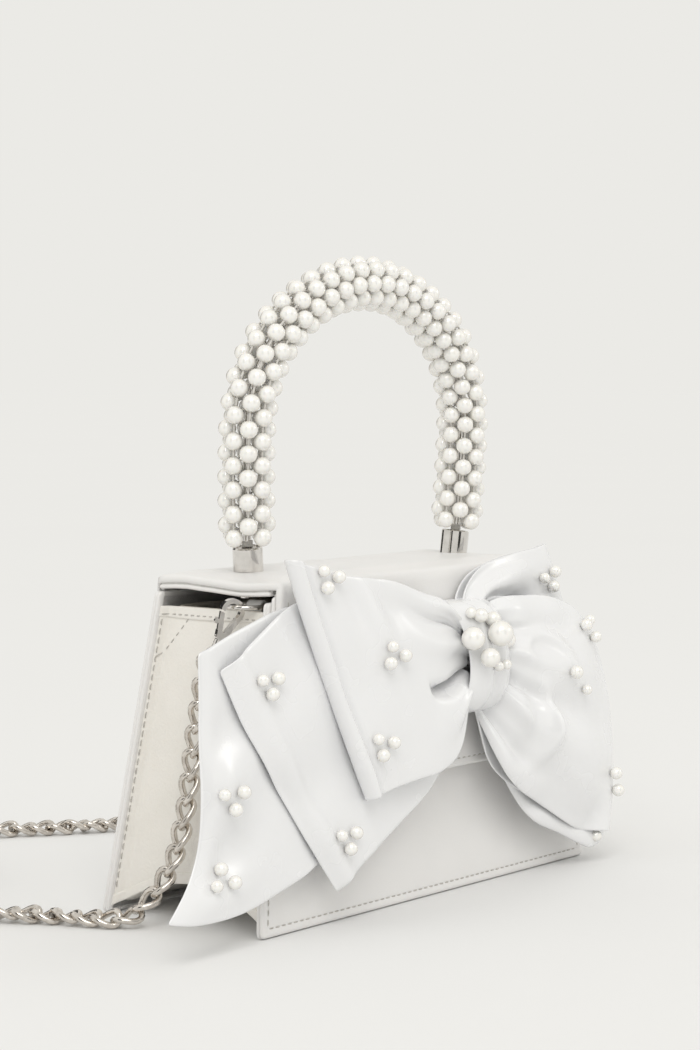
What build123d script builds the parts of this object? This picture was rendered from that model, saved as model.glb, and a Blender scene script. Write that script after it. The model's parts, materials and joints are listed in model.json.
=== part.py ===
from build123d import *
import math
import os

# A small A-frame bridal bag: stiff panels, a rigid lid, a front flap with a satin bow, a pearl
# handle and a chain strap on two lobster clasps. Millimetres, +Z up, +X to the bag's right seen
# from the front, the front faces -Y, origin on the floor under the middle of the body.

# ---- driving dimensions -------------------------------------------------------------------
foot_width = 200.0        # across the front panel at the floor
top_width = 158.0         # across the lid
foot_depth = 75.0         # front foot to back foot
lid_depth = 58.0
bag_height = 120.0        # floor to the top of the lid

skin = 1.4                # leather skin of a panel
board = 1.6               # stiffener board behind it
wall = skin + board
lining = 0.8
gusset_skin = 1.8
base_skin = 2.4
gusset_inset = 5.0        # how far a gusset stands inside the panels' side edges
gusset_top = 109.0
panel_top_front = 113.0
panel_top_back = 114.6
base_edge = 2.5           # underside of the base at the panels
base_rise = 15.0          # underside of the base at mid depth

lid_thick = 5.0
flap_length = 74.5        # along the flap, from the crease to its lower edge
edge_strip = 1.5

lid_dome = 1.7            # how far the padded lid rises at its middle
handle_base = bag_height + lid_dome
ferrule_radius = 5.4
ferrule_height = 9.0
core_radius = 1.4
leg_offset = 62.4         # a ferrule's centre, from the middle
leg_lean = 6.7            # degrees outward at the ferrule
leg_rise = 50.3           # over which a leg turns upright
crown_rise = 104.0        # handle centre line above the lid's top
handle_tilt = 2.3         # degrees forward
shoulder_radius = 47.0
pearl_radius = 3.25
pearl_columns = 8
pearl_pitch = 8.4
ring_radius = 7.15        # pearl centres from the core

wire = 0.8                # D ring wire radius
ring_half = 6.0           # D ring half width
ring_height = 110.7       # D ring plane above the floor
ring_bar_x = 69.6         # its straight bar, inside the bag
ring_straight = 6.6
clasp_y = -10.0
chain_radius = 4.0        # the chain's round envelope
coil_radius = 44.0
coil_centre = (-120.0, 155.0)


def half_width(z):
    """Half the width of the front and back panels at height z."""
    return (foot_width - (foot_width - top_width) * z / bag_height) / 2


def save(piece, name):
    piece.label = name
    export_step(piece, f"parts/{name}.step")


os.makedirs("parts", exist_ok=True)

# ---- the slopes of the walls --------------------------------------------------------------
back_lean = math.atan2((foot_depth - lid_depth) / 2, bag_height)
back_cos = math.cos(back_lean)
front_lean = math.radians(6.64)
front_cos = math.cos(front_lean)
front_sin = math.sin(front_lean)
foot_half = foot_depth / 2
lid_half = lid_depth / 2

front_face = Plane(origin=(0, -foot_half, 0), x_dir=(1, 0, 0), z_dir=(0, -front_cos, front_sin))
back_face = Plane(origin=(0, foot_half, 0), x_dir=(-1, 0, 0), z_dir=(0, back_cos, math.sin(back_lean)))
flap_face = Plane(origin=(0, -lid_half, bag_height), x_dir=(1, 0, 0), z_dir=(0, -front_cos, front_sin))


def front_inner_y(z, depth):
    return -foot_half + z * math.tan(front_lean) + depth / front_cos


def back_inner_y(z, depth):
    return foot_half - z * math.tan(back_lean) - depth / back_cos


def panel_points(low, high, cosine, inset):
    """Corners of a panel's trapezoid in its own plane, between two heights above the floor."""
    return [
        (-half_width(low) + inset, low / cosine),
        (half_width(low) - inset, low / cosine),
        (half_width(high) - inset, high / cosine),
        (-half_width(high) + inset, high / cosine),
    ]


def slab(face, points, depth, thick):
    """A sheet that fills an outline in a tilted plane, cut off flat at the floor."""
    with BuildPart() as sheet:
        with BuildSketch(face.offset(-depth - thick)):
            Polygon(*points, align=None)
        extrude(amount=thick)
        split(bisect_by=Plane.XY, keep=Keep.TOP)
    return sheet.part


# ---- front and back panels ----------------------------------------------------------------
socket_radius = 7.0
socket_depth = 2.4
socket_height = 58.0      # magnet snap, along the front face

with BuildPart() as front_panel:
    add(slab(front_face, panel_points(-1, panel_top_front, front_cos, 0), 0, skin))
    with BuildSketch(front_face.offset(1)):
        with Locations((0, socket_height)):
            Circle(socket_radius)
    extrude(amount=-socket_depth - 1, mode=Mode.SUBTRACT)
save(front_panel.part, "front_panel")

with BuildPart() as front_board:
    add(slab(front_face, panel_points(1.5, panel_top_front - 0.6, front_cos, 2.4), skin, board))
    with BuildSketch(front_face.offset(1)):
        with Locations((0, socket_height)):
            Circle(socket_radius)
    extrude(amount=-socket_depth - 1, mode=Mode.SUBTRACT)
save(front_board.part, "front_board")

with BuildPart() as back_panel:
    add(slab(back_face, panel_points(-1, panel_top_back, back_cos, 0), 0, skin))
save(back_panel.part, "back_panel")

with BuildPart() as back_board:
    add(slab(back_face, panel_points(1.5, panel_top_back - 0.6, back_cos, 2.4), skin, board))
save(back_board.part, "back_board")


def edge_binding(face, top, cosine):
    """Rolled edges down both sides of a panel, behind its skin, and along its foot."""
    with BuildPart() as binding:
        with BuildSketch(face.offset(-skin - board)):
            Polygon(*panel_points(-1, top, cosine, 0.2), align=None)
            Polygon(*panel_points(1.5, top + 5, cosine, 2.4), align=None, mode=Mode.SUBTRACT)
        extrude(amount=board)
        split(bisect_by=Plane.XY, keep=Keep.TOP)
    return binding.part


save(edge_binding(front_face, panel_top_front, front_cos), "front_edge_binding")
save(edge_binding(back_face, panel_top_back, back_cos), "back_edge_binding")

# ---- base, gussets and lining -------------------------------------------------------------


def inner_space(depth, floor_lift, side, low, high):
    """The space between the walls: depth in from their faces, over an arched floor, and side in
    from the panels' side edges, up to the height high."""
    with BuildPart() as space:
        with BuildSketch(Plane.YZ):
            with BuildLine():
                front_low = (front_inner_y(low, depth), low)
                back_low = (back_inner_y(low, depth), low)
                middle = ((front_low[0] + back_low[0]) / 2, base_rise + floor_lift)
                ThreePointArc(front_low, middle, back_low)
                Polyline(
                    back_low,
                    (back_inner_y(high, depth), high),
                    (front_inner_y(high, depth), high),
                    front_low,
                )
            make_face()
        extrude(amount=foot_width, both=True)
        with BuildSketch(Plane.XZ):
            Polygon(
                (-half_width(0) + side, 0),
                (half_width(0) - side, 0),
                (half_width(high) - side, high),
                (-half_width(high) + side, high),
                align=None,
            )
        extrude(amount=foot_depth, both=True, mode=Mode.INTERSECT)
    return space.part


inside_gussets = gusset_inset + gusset_skin
with BuildPart() as gusset_pair:
    add(inner_space(wall, 0, gusset_inset, base_edge, gusset_top))
    add(inner_space(0, -40, inside_gussets, 0, gusset_top + 4), mode=Mode.SUBTRACT)
gussets = gusset_pair.solids().sort_by(Axis.X)
save(Part(gussets[0].wrapped), "gusset_left")
save(Part(gussets[1].wrapped), "gusset_right")

with BuildPart() as base_panel:
    add(inner_space(wall, 0, inside_gussets, base_edge, 60))
    add(inner_space(wall, base_skin, 0, base_edge + base_skin, 61), mode=Mode.SUBTRACT)
save(base_panel.part, "base_panel")

lining_low = base_edge + base_skin
with BuildPart() as bag_lining:
    add(inner_space(wall, base_skin, inside_gussets, lining_low, gusset_top - 0.5))
    add(
        inner_space(
            wall + lining,
            base_skin + lining,
            inside_gussets + lining,
            lining_low + lining,
            gusset_top + 1,
        ),
        mode=Mode.SUBTRACT,
    )
save(bag_lining.part, "bag_lining")

pocket_width = 90.0
pocket_low = 40.0
pocket_high = 90.0
pocket_gap = 1.2
pocket_skin = 0.8
with BuildPart() as inner_pocket:
    with BuildSketch(back_face.offset(-wall - lining)):
        Polygon(
            (-pocket_width / 2, pocket_low),
            (pocket_width / 2, pocket_low),
            (pocket_width / 2, pocket_high),
            (-pocket_width / 2, pocket_high),
            align=None,
        )
    extrude(amount=-pocket_gap - pocket_skin)
    with BuildSketch(back_face.offset(-wall - lining)):
        Polygon(
            (1 - pocket_width / 2, pocket_low + 1),
            (pocket_width / 2 - 1, pocket_low + 1),
            (pocket_width / 2 - 1, pocket_high + 1),
            (1 - pocket_width / 2, pocket_high + 1),
            align=None,
        )
    extrude(amount=-pocket_gap, mode=Mode.SUBTRACT)
save(inner_pocket.part, "inner_pocket")

# ---- magnet snap: socket in the front panel, stud in the flap ------------------------------
recess_radius = 4.8
recess_depth = 0.7
with BuildPart() as snap_socket:
    with BuildSketch(front_face.offset(-socket_depth)):
        with Locations((0, socket_height)):
            Circle(socket_radius)
    extrude(amount=socket_depth)
    with BuildSketch(front_face.offset(-recess_depth)):
        with Locations((0, socket_height)):
            Circle(recess_radius)
    extrude(amount=recess_depth, mode=Mode.SUBTRACT)
save(snap_socket.part, "snap_socket")

# ---- lid ----------------------------------------------------------------------------------
flap_thick = 5.0
flap_skin = 1.5
flap_board = 2.3
lid_front = -lid_half + flap_thick / front_cos + 0.25
lid_skin = 1.5
lid_board = 2.3
half_lid = top_width / 2


def lid_layer(low, thick, inset, front_inset, back_inset):
    with BuildPart() as layer:
        with BuildSketch(Plane.XY.offset(low)):
            Polygon(
                (-half_lid + inset, lid_front + front_inset),
                (half_lid - inset, lid_front + front_inset),
                (half_lid - inset, lid_half - back_inset),
                (-half_lid + inset, lid_half - back_inset),
                align=None,
            )
        extrude(amount=thick)
        with Locations((leg_offset, 0, low), (-leg_offset, 0, low)):
            Cylinder(1.7, 3 * thick, mode=Mode.SUBTRACT)
    return layer.part


with BuildPart() as lid_leather:
    add(lid_layer(bag_height - lid_skin, lid_skin, 0, 0, 0))
    fillet(lid_leather.edges().filter_by(Axis.Z).group_by(Axis.Y)[-1], 2.5)
    for height, inset in ((bag_height, 0.8), (handle_base, 13)):
        with BuildSketch(Plane.XY.offset(height)):
            with Locations((0, (lid_front + lid_half) / 2)):
                Rectangle(top_width - 2 * inset, lid_half - lid_front - 2 * inset)
    loft()
    with Locations((leg_offset, 0, bag_height), (-leg_offset, 0, bag_height)):
        Cylinder(1.7, 4 * lid_dome, mode=Mode.SUBTRACT)
save(lid_leather.part, "lid_leather")
save(lid_layer(bag_height - lid_skin - lid_board, lid_board, edge_strip, 0, 1.0), "lid_board")
save(lid_layer(bag_height - lid_thick, lid_thick - lid_skin - lid_board, 0.4, 0, 0.6), "lid_lining")
with BuildPart() as lid_edge_strips:
    with BuildSketch(Plane.XY.offset(bag_height - lid_skin - lid_board)):
        for side in (-1, 1):
            with Locations((side * (half_lid - edge_strip / 2), (lid_front + lid_half - 3) / 2)):
                Rectangle(edge_strip, lid_half - lid_front - 3)
    extrude(amount=lid_board)
save(lid_edge_strips.part, "lid_edge_strips")

# ---- flap front, in the plane of its outer face --------------------------------------------


def flap_points(inset, top_inset, foot_inset):
    def across(distance):
        return half_width(bag_height - distance * front_cos) - inset

    low = flap_length - foot_inset
    return [
        (-across(low), -low),
        (across(low), -low),
        (across(top_inset), -top_inset),
        (-across(top_inset), -top_inset),
    ]


def flap_layer(depth, thick, inset, top_inset, foot_inset):
    with BuildPart() as layer:
        with BuildSketch(flap_face.offset(-depth - thick)):
            Polygon(*flap_points(inset, top_inset, foot_inset), align=None)
        extrude(amount=thick)
    return layer.part


stud_radius = 6.0
stud_boss = 4.0
stud_place = socket_height - bag_height * front_cos - (foot_half - lid_half) * front_sin
with BuildPart() as flap_leather:
    add(flap_layer(0, flap_skin, 0, 0.2, 0))
    chamfer(flap_leather.edges().group_by(Axis.Z)[-1].group_by(Axis.Y)[0], 1.0)
save(flap_leather.part, "flap_leather")
with BuildPart() as flap_stiffener:
    add(flap_layer(flap_skin, flap_board, edge_strip, 0.2, edge_strip))
    with BuildSketch(flap_face.offset(-flap_skin - flap_board)):
        with Locations((0, stud_place)):
            Circle(stud_radius)
    extrude(amount=1.4, mode=Mode.SUBTRACT)
save(flap_stiffener.part, "flap_board")
with BuildPart() as flap_lining:
    add(flap_layer(flap_skin + flap_board, flap_thick - flap_skin - flap_board, 0.4, 0.2, 0.4))
    with BuildSketch(flap_face.offset(-flap_thick - 1)):
        with Locations((0, stud_place)):
            Circle(stud_radius)
    extrude(amount=3, mode=Mode.SUBTRACT)
save(flap_lining.part, "flap_lining")
with BuildPart() as flap_edge_strips:
    with BuildSketch(flap_face.offset(-flap_skin - flap_board)):
        Polygon(*flap_points(0, 0.2, 0), align=None)
        Polygon(*flap_points(edge_strip, 0, edge_strip), align=None, mode=Mode.SUBTRACT)
    extrude(amount=flap_board)
save(flap_edge_strips.part, "flap_edge_strips")

with BuildPart() as snap_stud:
    with BuildSketch(flap_face.offset(-flap_thick)):
        with Locations((0, stud_place)):
            Circle(stud_radius)
    extrude(amount=flap_thick - flap_skin - flap_board + 1.4)
    with BuildSketch(flap_face.offset(-flap_thick)):
        with Locations((0, stud_place)):
            Circle(stud_boss)
    extrude(amount=-0.9)
save(snap_stud.part, "snap_stud")

# ---- handle: ferrules, screws, core rod and pearls ------------------------------------------
tilt = math.radians(handle_tilt)
handle_plane = Plane(
    origin=(0, 0, handle_base), x_dir=(1, 0, 0), z_dir=(0, -math.cos(tilt), -math.sin(tilt))
)
lean = math.radians(leg_lean)
leg_radius = leg_rise / math.sin(lean)
arch_half = leg_offset + leg_radius * (1 - math.cos(lean))
arch_height = crown_rise - leg_rise
crown_drop = ((arch_half - shoulder_radius) ** 2 - (arch_height - shoulder_radius) ** 2) / (
    2 * (arch_height - shoulder_radius)
)
crown_radius = arch_height + crown_drop
shoulder_turn = math.degrees(math.atan2(crown_drop, arch_half - shoulder_radius))

with BuildPart() as handle_core:
    with BuildLine(handle_plane) as core_line:
        right_leg = JernArc((leg_offset, 0), (math.sin(lean), math.cos(lean)), leg_radius, leg_lean)
        right_shoulder = JernArc(right_leg @ 1, right_leg % 1, shoulder_radius, shoulder_turn)
        crown = JernArc(right_shoulder @ 1, right_shoulder % 1, crown_radius, 180 - 2 * shoulder_turn)
        left_shoulder = JernArc(crown @ 1, crown % 1, shoulder_radius, shoulder_turn)
        left_leg = JernArc(left_shoulder @ 1, left_shoulder % 1, leg_radius, leg_lean)
    with BuildSketch(Plane(origin=core_line.line @ 0, z_dir=core_line.line % 0)):
        Circle(core_radius)
    sweep()
    with Locations((0, 0, handle_base - 5)):
        Box(200, 60, 2 * (5 + 4.0), mode=Mode.SUBTRACT)
save(handle_core.part, "handle_core")

spine = core_line.wire()
spine_length = spine.length
side_axis = handle_plane.z_dir
leg_direction = Vector(math.sin(lean), 0, math.cos(lean)).rotate(Axis.X, handle_tilt)

with BuildPart() as ferrule_right:
    with BuildSketch(Plane(origin=(leg_offset, 0, handle_base), z_dir=leg_direction)):
        Circle(ferrule_radius)
    extrude(amount=ferrule_height)
    extrude(ferrule_right.faces().sort_by(Axis.Z)[0], amount=2)
    split(bisect_by=Plane.XY.offset(handle_base), keep=Keep.TOP)
    chamfer(ferrule_right.edges().sort_by(Axis.Z)[-1], 0.5)
    rim = Plane(origin=(leg_offset, 0, handle_base), z_dir=leg_direction).offset(ferrule_height - 0.9)
    with BuildSketch(rim):
        Circle(ferrule_radius - 1.0)
    extrude(amount=2, mode=Mode.SUBTRACT)
    add(handle_core.part, mode=Mode.SUBTRACT)
    with Locations((leg_offset, 0, handle_base)):
        Cylinder(1.6, 8.0, mode=Mode.SUBTRACT)
save(ferrule_right.part, "ferrule_right")
with BuildPart() as ferrule_left:
    mirror(ferrule_right.part, about=Plane.YZ)
save(ferrule_left.part, "ferrule_left")

lid_under = bag_height - lid_thick
with BuildPart() as handle_washers:
    with Locations((leg_offset, 0, lid_under - 0.4), (-leg_offset, 0, lid_under - 0.4)):
        Cylinder(5.5, 0.8)
        Cylinder(1.7, 2.0, mode=Mode.SUBTRACT)
save(handle_washers.part, "handle_washers")
with BuildPart() as handle_screws:
    for side in (-1, 1):
        with Locations((side * leg_offset, 0, lid_under - 0.8 - 0.9)):
            Cylinder(3.4, 1.8)
            Box(4.4, 0.8, 1.8, align=(Align.CENTER, Align.CENTER, Align.MAX), mode=Mode.SUBTRACT)
        with Locations((side * leg_offset, 0, lid_under - 0.8)):
            Cylinder(1.55, 9.5 + lid_dome, align=(Align.CENTER, Align.CENTER, Align.MIN))
save(handle_screws.part, "handle_screws")

# The pearls stand in columns round the core, every second column half a pitch along.
pearl_start = ferrule_height + pearl_radius + 0.6
pearl_run = spine_length - 2 * pearl_start
rows = round(pearl_run / pearl_pitch)
pitch = pearl_run / rows
pearl_centres = []
for column in range(pearl_columns):
    angle = 2 * math.pi * column / pearl_columns
    shift = 0.5 * (column % 2)
    for row in range(rows + 1 - column % 2):
        distance = pearl_start + (row + shift) * pitch
        centre = spine.position_at(distance, position_mode=PositionMode.LENGTH)
        along = spine.tangent_at(distance, position_mode=PositionMode.LENGTH)
        outward = along.cross(side_axis)
        sideways = outward * math.cos(angle) + side_axis * math.sin(angle)
        pearl_centres.append(centre + sideways * ring_radius)
closest = min(
    (pearl_centres[i] - pearl_centres[j]).length
    for i in range(len(pearl_centres))
    for j in range(i)
)
print("pearls", len(pearl_centres), "closest centres", round(closest, 3), "spine", round(spine_length, 1))
with BuildPart() as handle_pearls:
    with Locations(*pearl_centres):
        Sphere(pearl_radius)
save(handle_pearls.part, "handle_pearls")

# ---- satin bow, in the plane of the flap's outer face ----------------------------------------


def soft_pad(outline, low, high):
    """A closed pad: an outline on the flap, between two heights off its face."""
    with BuildPart() as pad:
        with BuildSketch(flap_face.offset(low)):
            Polygon(*outline, align=None)
        extrude(amount=high - low)
    return pad.part


bow_long_tail = [
    (-78, -8), (-126, -20), (-127, -33), (-133, -78), (-142, -95), (-152, -105), (-140, -108),
    (-116, -107.5), (-89, -102), (-60, -88), (-8, -48), (-8, -20),
]
bow_short_tail = [
    (-80, -8), (-119, -27), (-108, -51), (-90, -79), (-69, -108), (-57, -101), (-32, -90),
    (-8, -75), (-4, -50), (-4, -20), (-30, -9),
]
bow_loop_left = [
    (-86, 8), (-60, 1), (-34, -3), (-16, -9), (-5, -13), (-1, -24), (-1, -52), (-6, -65),
    (-14, -73), (-42, -76), (-54, -78), (-70, -38), (-82, -6),
]
bow_loop_back = [
    (24, -17), (31, -3), (51, 2), (78, 5), (82, -2), (87, -17), (90, -26), (84, -44), (24, -44),
]
bow_under_ply = [
    (24, -46), (28, -72), (38, -87), (50, -99), (68, -107), (85, -112), (97, -112), (98, -82),
    (90, -46),
]
bow_loop_front = [
    (24, -14), (46, -13), (72, -17), (92, -33), (97, -57), (95, -85), (89, -109), (75, -106),
    (55, -96), (35, -86), (26, -73), (24, -54),
]
knot_outline = [(0, -16), (5, -12), (18, -12), (23, -16), (23, -52), (18, -56), (5, -56), (0, -52)]

save(soft_pad(bow_long_tail, 0.4, 3.2), "bow_tail_long")
save(soft_pad(bow_short_tail, 3.6, 6.4), "bow_tail_short")
save(soft_pad(bow_loop_left, 6.8, 14.8), "bow_loop_left")
save(soft_pad(bow_loop_back, 0.6, 8.6), "bow_loop_back")
save(soft_pad(bow_under_ply, 1.0, 5.6), "bow_under_ply")
save(soft_pad(bow_loop_front, 9.2, 23.0), "bow_loop_front")
save(soft_pad(knot_outline, 0.4, 21.0), "bow_knot")


def pearls(places, front):
    """Round pearls (across, up, radius) standing on a level of the bow."""
    with BuildPart() as group:
        for across, up, radius in places:
            centre = flap_face.offset(front + radius + 0.05).from_local_coords((across, up, 0))
            with Locations(Location(centre)):
                Sphere(radius)
    return group.part


def trefoils(centres, radius, front):
    """Three pearls touching round each centre, one of them below."""
    spread = (radius + 0.05) * 2 / math.sqrt(3)
    places = []
    for across, up in centres:
        for turn in (30, 150, 270):
            places.append(
                (
                    across + spread * math.cos(math.radians(turn)),
                    up + spread * math.sin(math.radians(turn)),
                    radius,
                )
            )
    return pearls(places, front)


trefoil_radius = 2.6
knot_places = [
    (0.5, -26, 5.0), (11, -26, 5.0), (19.5, -30, 4.0), (6, -35.5, 3.7), (6, -17.5, 3.4),
    (14, -35, 2.2), (-1.5, -18.5, 2.4),
]
save(pearls(knot_places, 21.0), "knot_pearls")
save(trefoils([(-70, -3), (-36, -30), (-46, -60)], trefoil_radius, 14.8), "pearls_loop_left")
save(trefoils([(-98, -34), (-65, -91)], trefoil_radius, 6.4), "pearls_tail_short")
save(trefoils([(-119, -70), (-129, -95)], trefoil_radius, 3.2), "pearls_tail_long")
save(trefoils([(74, -10)], trefoil_radius, 8.6), "pearls_loop_back")
save(
    pearls(
        [
            (78, -28, 2.6), (83.5, -27, 2.6), (82, -33, 2.6), (64, -45, 2.6), (72, -53, 2.2),
            (88, -86, 2.6), (90, -92, 2.6), (78, -100, 2.4),
        ],
        23.0,
    ),
    "pearls_loop_front",
)

# ---- D rings and tabs inside the gusset tops --------------------------------------------------
with BuildPart() as d_ring_left:
    with BuildLine(Plane.XY.offset(ring_height)) as ring_line:
        arc_x = -ring_bar_x - ring_straight
        bar = FilletPolyline(
            (arc_x, clasp_y - ring_half),
            (-ring_bar_x, clasp_y - ring_half),
            (-ring_bar_x, clasp_y + ring_half),
            (arc_x, clasp_y + ring_half),
            radius=1.6,
        )
        ThreePointArc(bar @ 1, (arc_x - ring_half, clasp_y), bar @ 0)
    with BuildSketch(Plane(origin=bar @ 0, z_dir=bar % 0)):
        Circle(wire)
    sweep()
save(d_ring_left.part, "d_ring_left")
with BuildPart() as d_ring_right:
    mirror(d_ring_left.part, about=Plane.YZ)
save(d_ring_right.part, "d_ring_right")

tab_half = 3.6
tab_skin = 1.1
with BuildPart() as ring_tab_left:
    with BuildSketch(Plane.XZ.offset(-clasp_y)):
        with Locations((-ring_bar_x, ring_height)):
            Circle(wire + 0.06 + tab_skin)
        with Locations((-ring_bar_x - 0.4, ring_height - 8)):
            Rectangle(2 * tab_skin, 16)
        with Locations((-ring_bar_x, ring_height)):
            Circle(wire + 0.06, mode=Mode.SUBTRACT)
    extrude(amount=tab_half, both=True)
    add(bag_lining.part, mode=Mode.SUBTRACT)
    add(gussets[0], mode=Mode.SUBTRACT)
save(ring_tab_left.part, "ring_tab_left")
with BuildPart() as ring_tab_right:
    mirror(ring_tab_left.part, about=Plane.YZ)
save(ring_tab_right.part, "ring_tab_right")

# ---- lobster clasps -----------------------------------------------------------------------------
# A clasp is drawn in its own plane: its y axis runs up its length and its origin is the middle of
# the D ring's wire, under the hook's crown.
hook_point = Vector(arc_x - ring_half, clasp_y, ring_height)
clasp_up = Vector(0.35, -0.25, 0.90).normalized()
clasp_side = Vector(math.cos(math.radians(25)), -math.sin(math.radians(25)), 0)
clasp_across = (clasp_side - clasp_up * clasp_side.dot(clasp_up)).normalized()
clasp_plane = Plane(origin=hook_point, x_dir=clasp_across, z_dir=clasp_across.cross(clasp_up))

hook_hole = 2.8           # the hook's round opening
hook_wall = 1.7
hook_drop = 1.35          # its centre below the D ring's wire
foot_drop = 11.0          # the narrow end of the frame
foot_radius = 1.9
clasp_half = 1.0          # half the frame's thickness
lever_half = 0.5
lever_slot = 0.62
pivot = (-1.0, -10.6)
root_radius = 1.15
pin_radius = 0.45
pin_gap = 0.05
collar_radius = 1.6
collar_top = 12.4
collar_foot = 14.0
post_radius = 0.7
barrel_radius = 1.5
barrel_top = 14.15
barrel_foot = 15.8
eye_drop = 18.0
eye_radius = 2.4
eye_wire = 0.65


def across_axis(drop):
    """A plane square to the clasp's length, the given distance below the D ring's wire."""
    return Plane(origin=hook_point - clasp_up * drop, z_dir=-clasp_up)


with BuildPart() as clasp_blank:
    with BuildSketch(clasp_plane) as outer:
        with Locations((0, -hook_drop)):
            Circle(hook_hole + hook_wall)
        with Locations((0, -foot_drop)):
            Circle(foot_radius)
        make_hull(outer.edges())
    extrude(amount=clasp_half, both=True)
    with BuildSketch(clasp_plane) as inner:
        with Locations((0, -hook_drop)):
            Circle(hook_hole)
        with Locations((0, 2.0 - foot_drop)):
            Circle(0.4)
        make_hull(inner.edges())
    extrude(amount=2 * clasp_half, both=True, mode=Mode.SUBTRACT)

with BuildPart() as clasp_frame_left:
    add(clasp_blank.part)
    with BuildSketch(across_axis(collar_top)):
        Circle(collar_radius)
    extrude(amount=collar_foot - collar_top)
    with BuildSketch(across_axis(collar_top - 0.1)):
        Circle(post_radius + pin_gap)
    extrude(amount=3, mode=Mode.SUBTRACT)
    with BuildSketch(clasp_plane):
        with Locations((-3, -5.8)):
            Rectangle(6, 7.0)
    extrude(amount=3, both=True, mode=Mode.SUBTRACT)
    with BuildSketch(clasp_plane):
        with Locations((-2.65, -9.9)):
            Rectangle(6.7, 1.6)
        with Locations(pivot):
            Circle(root_radius + 0.2)
    extrude(amount=lever_slot, both=True, mode=Mode.SUBTRACT)
    with BuildSketch(clasp_plane):
        with Locations(pivot):
            Circle(pin_radius)
    extrude(amount=2, both=True, mode=Mode.SUBTRACT)

with BuildPart() as clasp_lever_left:
    add(clasp_blank.part)
    with BuildSketch(clasp_plane):
        with Locations((-3.05, -6.8)):
            Rectangle(6, 7.7)
    extrude(amount=lever_half, both=True, mode=Mode.INTERSECT)
    with BuildSketch(clasp_plane):
        with Locations(pivot):
            Circle(root_radius)
        with Locations((-3.95, -6.6)):
            Circle(0.9)
    extrude(amount=lever_half, both=True)
    with BuildSketch(clasp_plane):
        with Locations(pivot):
            Circle(pin_radius + pin_gap)
    extrude(amount=2, both=True, mode=Mode.SUBTRACT)

with BuildPart() as clasp_pin_left:
    with BuildSketch(clasp_plane):
        with Locations(pivot):
            Circle(pin_radius)
    extrude(amount=clasp_half, both=True)

with BuildPart() as clasp_swivel_left:
    with BuildSketch(across_axis(collar_top)):
        Circle(post_radius)
    extrude(amount=barrel_top - collar_top)
    with BuildSketch(across_axis(barrel_top)):
        Circle(barrel_radius)
    extrude(amount=barrel_foot - barrel_top)
    with BuildSketch(Plane(origin=hook_point - clasp_up * eye_drop, x_dir=clasp_across, z_dir=clasp_up)):
        with Locations((eye_radius, 0)):
            Circle(eye_wire)
    revolve(axis=Axis(hook_point - clasp_up * eye_drop, clasp_plane.z_dir))

for left, name in (
    (clasp_frame_left, "clasp_frame"),
    (clasp_lever_left, "clasp_lever"),
    (clasp_pin_left, "clasp_pin"),
    (clasp_swivel_left, "clasp_swivel"),
):
    save(left.part, name + "_left")
    with BuildPart() as right:
        mirror(left.part, about=Plane.YZ)
    save(right.part, name + "_right")

pivot_left = clasp_plane.from_local_coords((pivot[0], pivot[1], 0))
print("hook point", hook_point, "clasp up", clasp_up)
print("lever pivot", pivot_left, "lever axis", -clasp_plane.z_dir)

# ---- chain strap -----------------------------------------------------------------------------------
# It hangs from the left clasp's eye, runs out over the floor into a coil, and comes back behind
# the bag to the right clasp. Its solids are plain round envelopes of the links.
left_route = [
    (-90.4, -3.9, 90.4), (-90.9, -1.6, 78), (-92, -0.2, 63), (-94.4, 0.6, 47), (-97.8, 0.6, 32.5),
    (-102, 2.8, 19), (-107.2, 8, 8.8), (-113.6, 15, 4.5), (-118.5, 24, 4.1), (-122, 35, 4.1),
    (-128.5, 48, 4.1), (-138.5, 62, 4.1), (-150, 79, 4.1), (-160, 97, 4.1), (-164, 114, 4.1),
    (-164, 127, 4.1),
]
right_route = [
    (-92, 199, 12.1), (-82, 199, 12.1), (-66, 197.5, 6.2), (-49, 192.5, 4.1), (-30.5, 184.5, 4.1),
    (-15, 174.5, 4.1), (-2, 164, 4.1), (10, 155.5, 4.1), (23, 148.5, 4.1), (40, 138.5, 4.1),
    (58, 124.5, 4.1), (75, 107, 4.1), (90, 86, 4.1), (101, 63, 4.1), (108.5, 41, 4.1),
    (112, 23.5, 4.4), (108.6, 11.5, 8.8), (102.6, 4.2, 19), (97.8, 0.8, 32.5), (94.4, 0.6, 47),
    (92, -0.2, 63), (90.9, -1.6, 78), (90.4, -3.9, 90.4),
]


def corner_radii(route):
    """The largest arc that each corner's two runs allow."""
    points = [Vector(*p) for p in route]
    radii = []
    for before, corner, after in zip(points, points[1:], points[2:]):
        run_in = corner - before
        run_out = after - corner
        turn = math.radians(run_in.get_angle(run_out))
        radii.append(0.45 * min(run_in.length, run_out.length) / math.tan(turn / 2))
    return radii


def strand(route):
    radii = corner_radii(route)
    with BuildPart() as tube:
        with BuildLine() as path:
            FilletPolyline(*route, radius=radii)
        with BuildSketch(Plane(origin=path.line @ 0, z_dir=path.line % 0)):
            Circle(chain_radius)
        sweep()
    length = path.wire().length
    ratio = tube.part.volume / (math.pi * chain_radius**2 * length)
    print("strand", round(length, 1), "tightest", round(min(radii), 1), "volume ratio", round(ratio, 4))
    return tube.part, length


left_tube, left_length = strand(left_route)
right_tube, right_length = strand(right_route)
save(left_tube, "chain_strand_left")
save(right_tube, "chain_strand_right")

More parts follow.
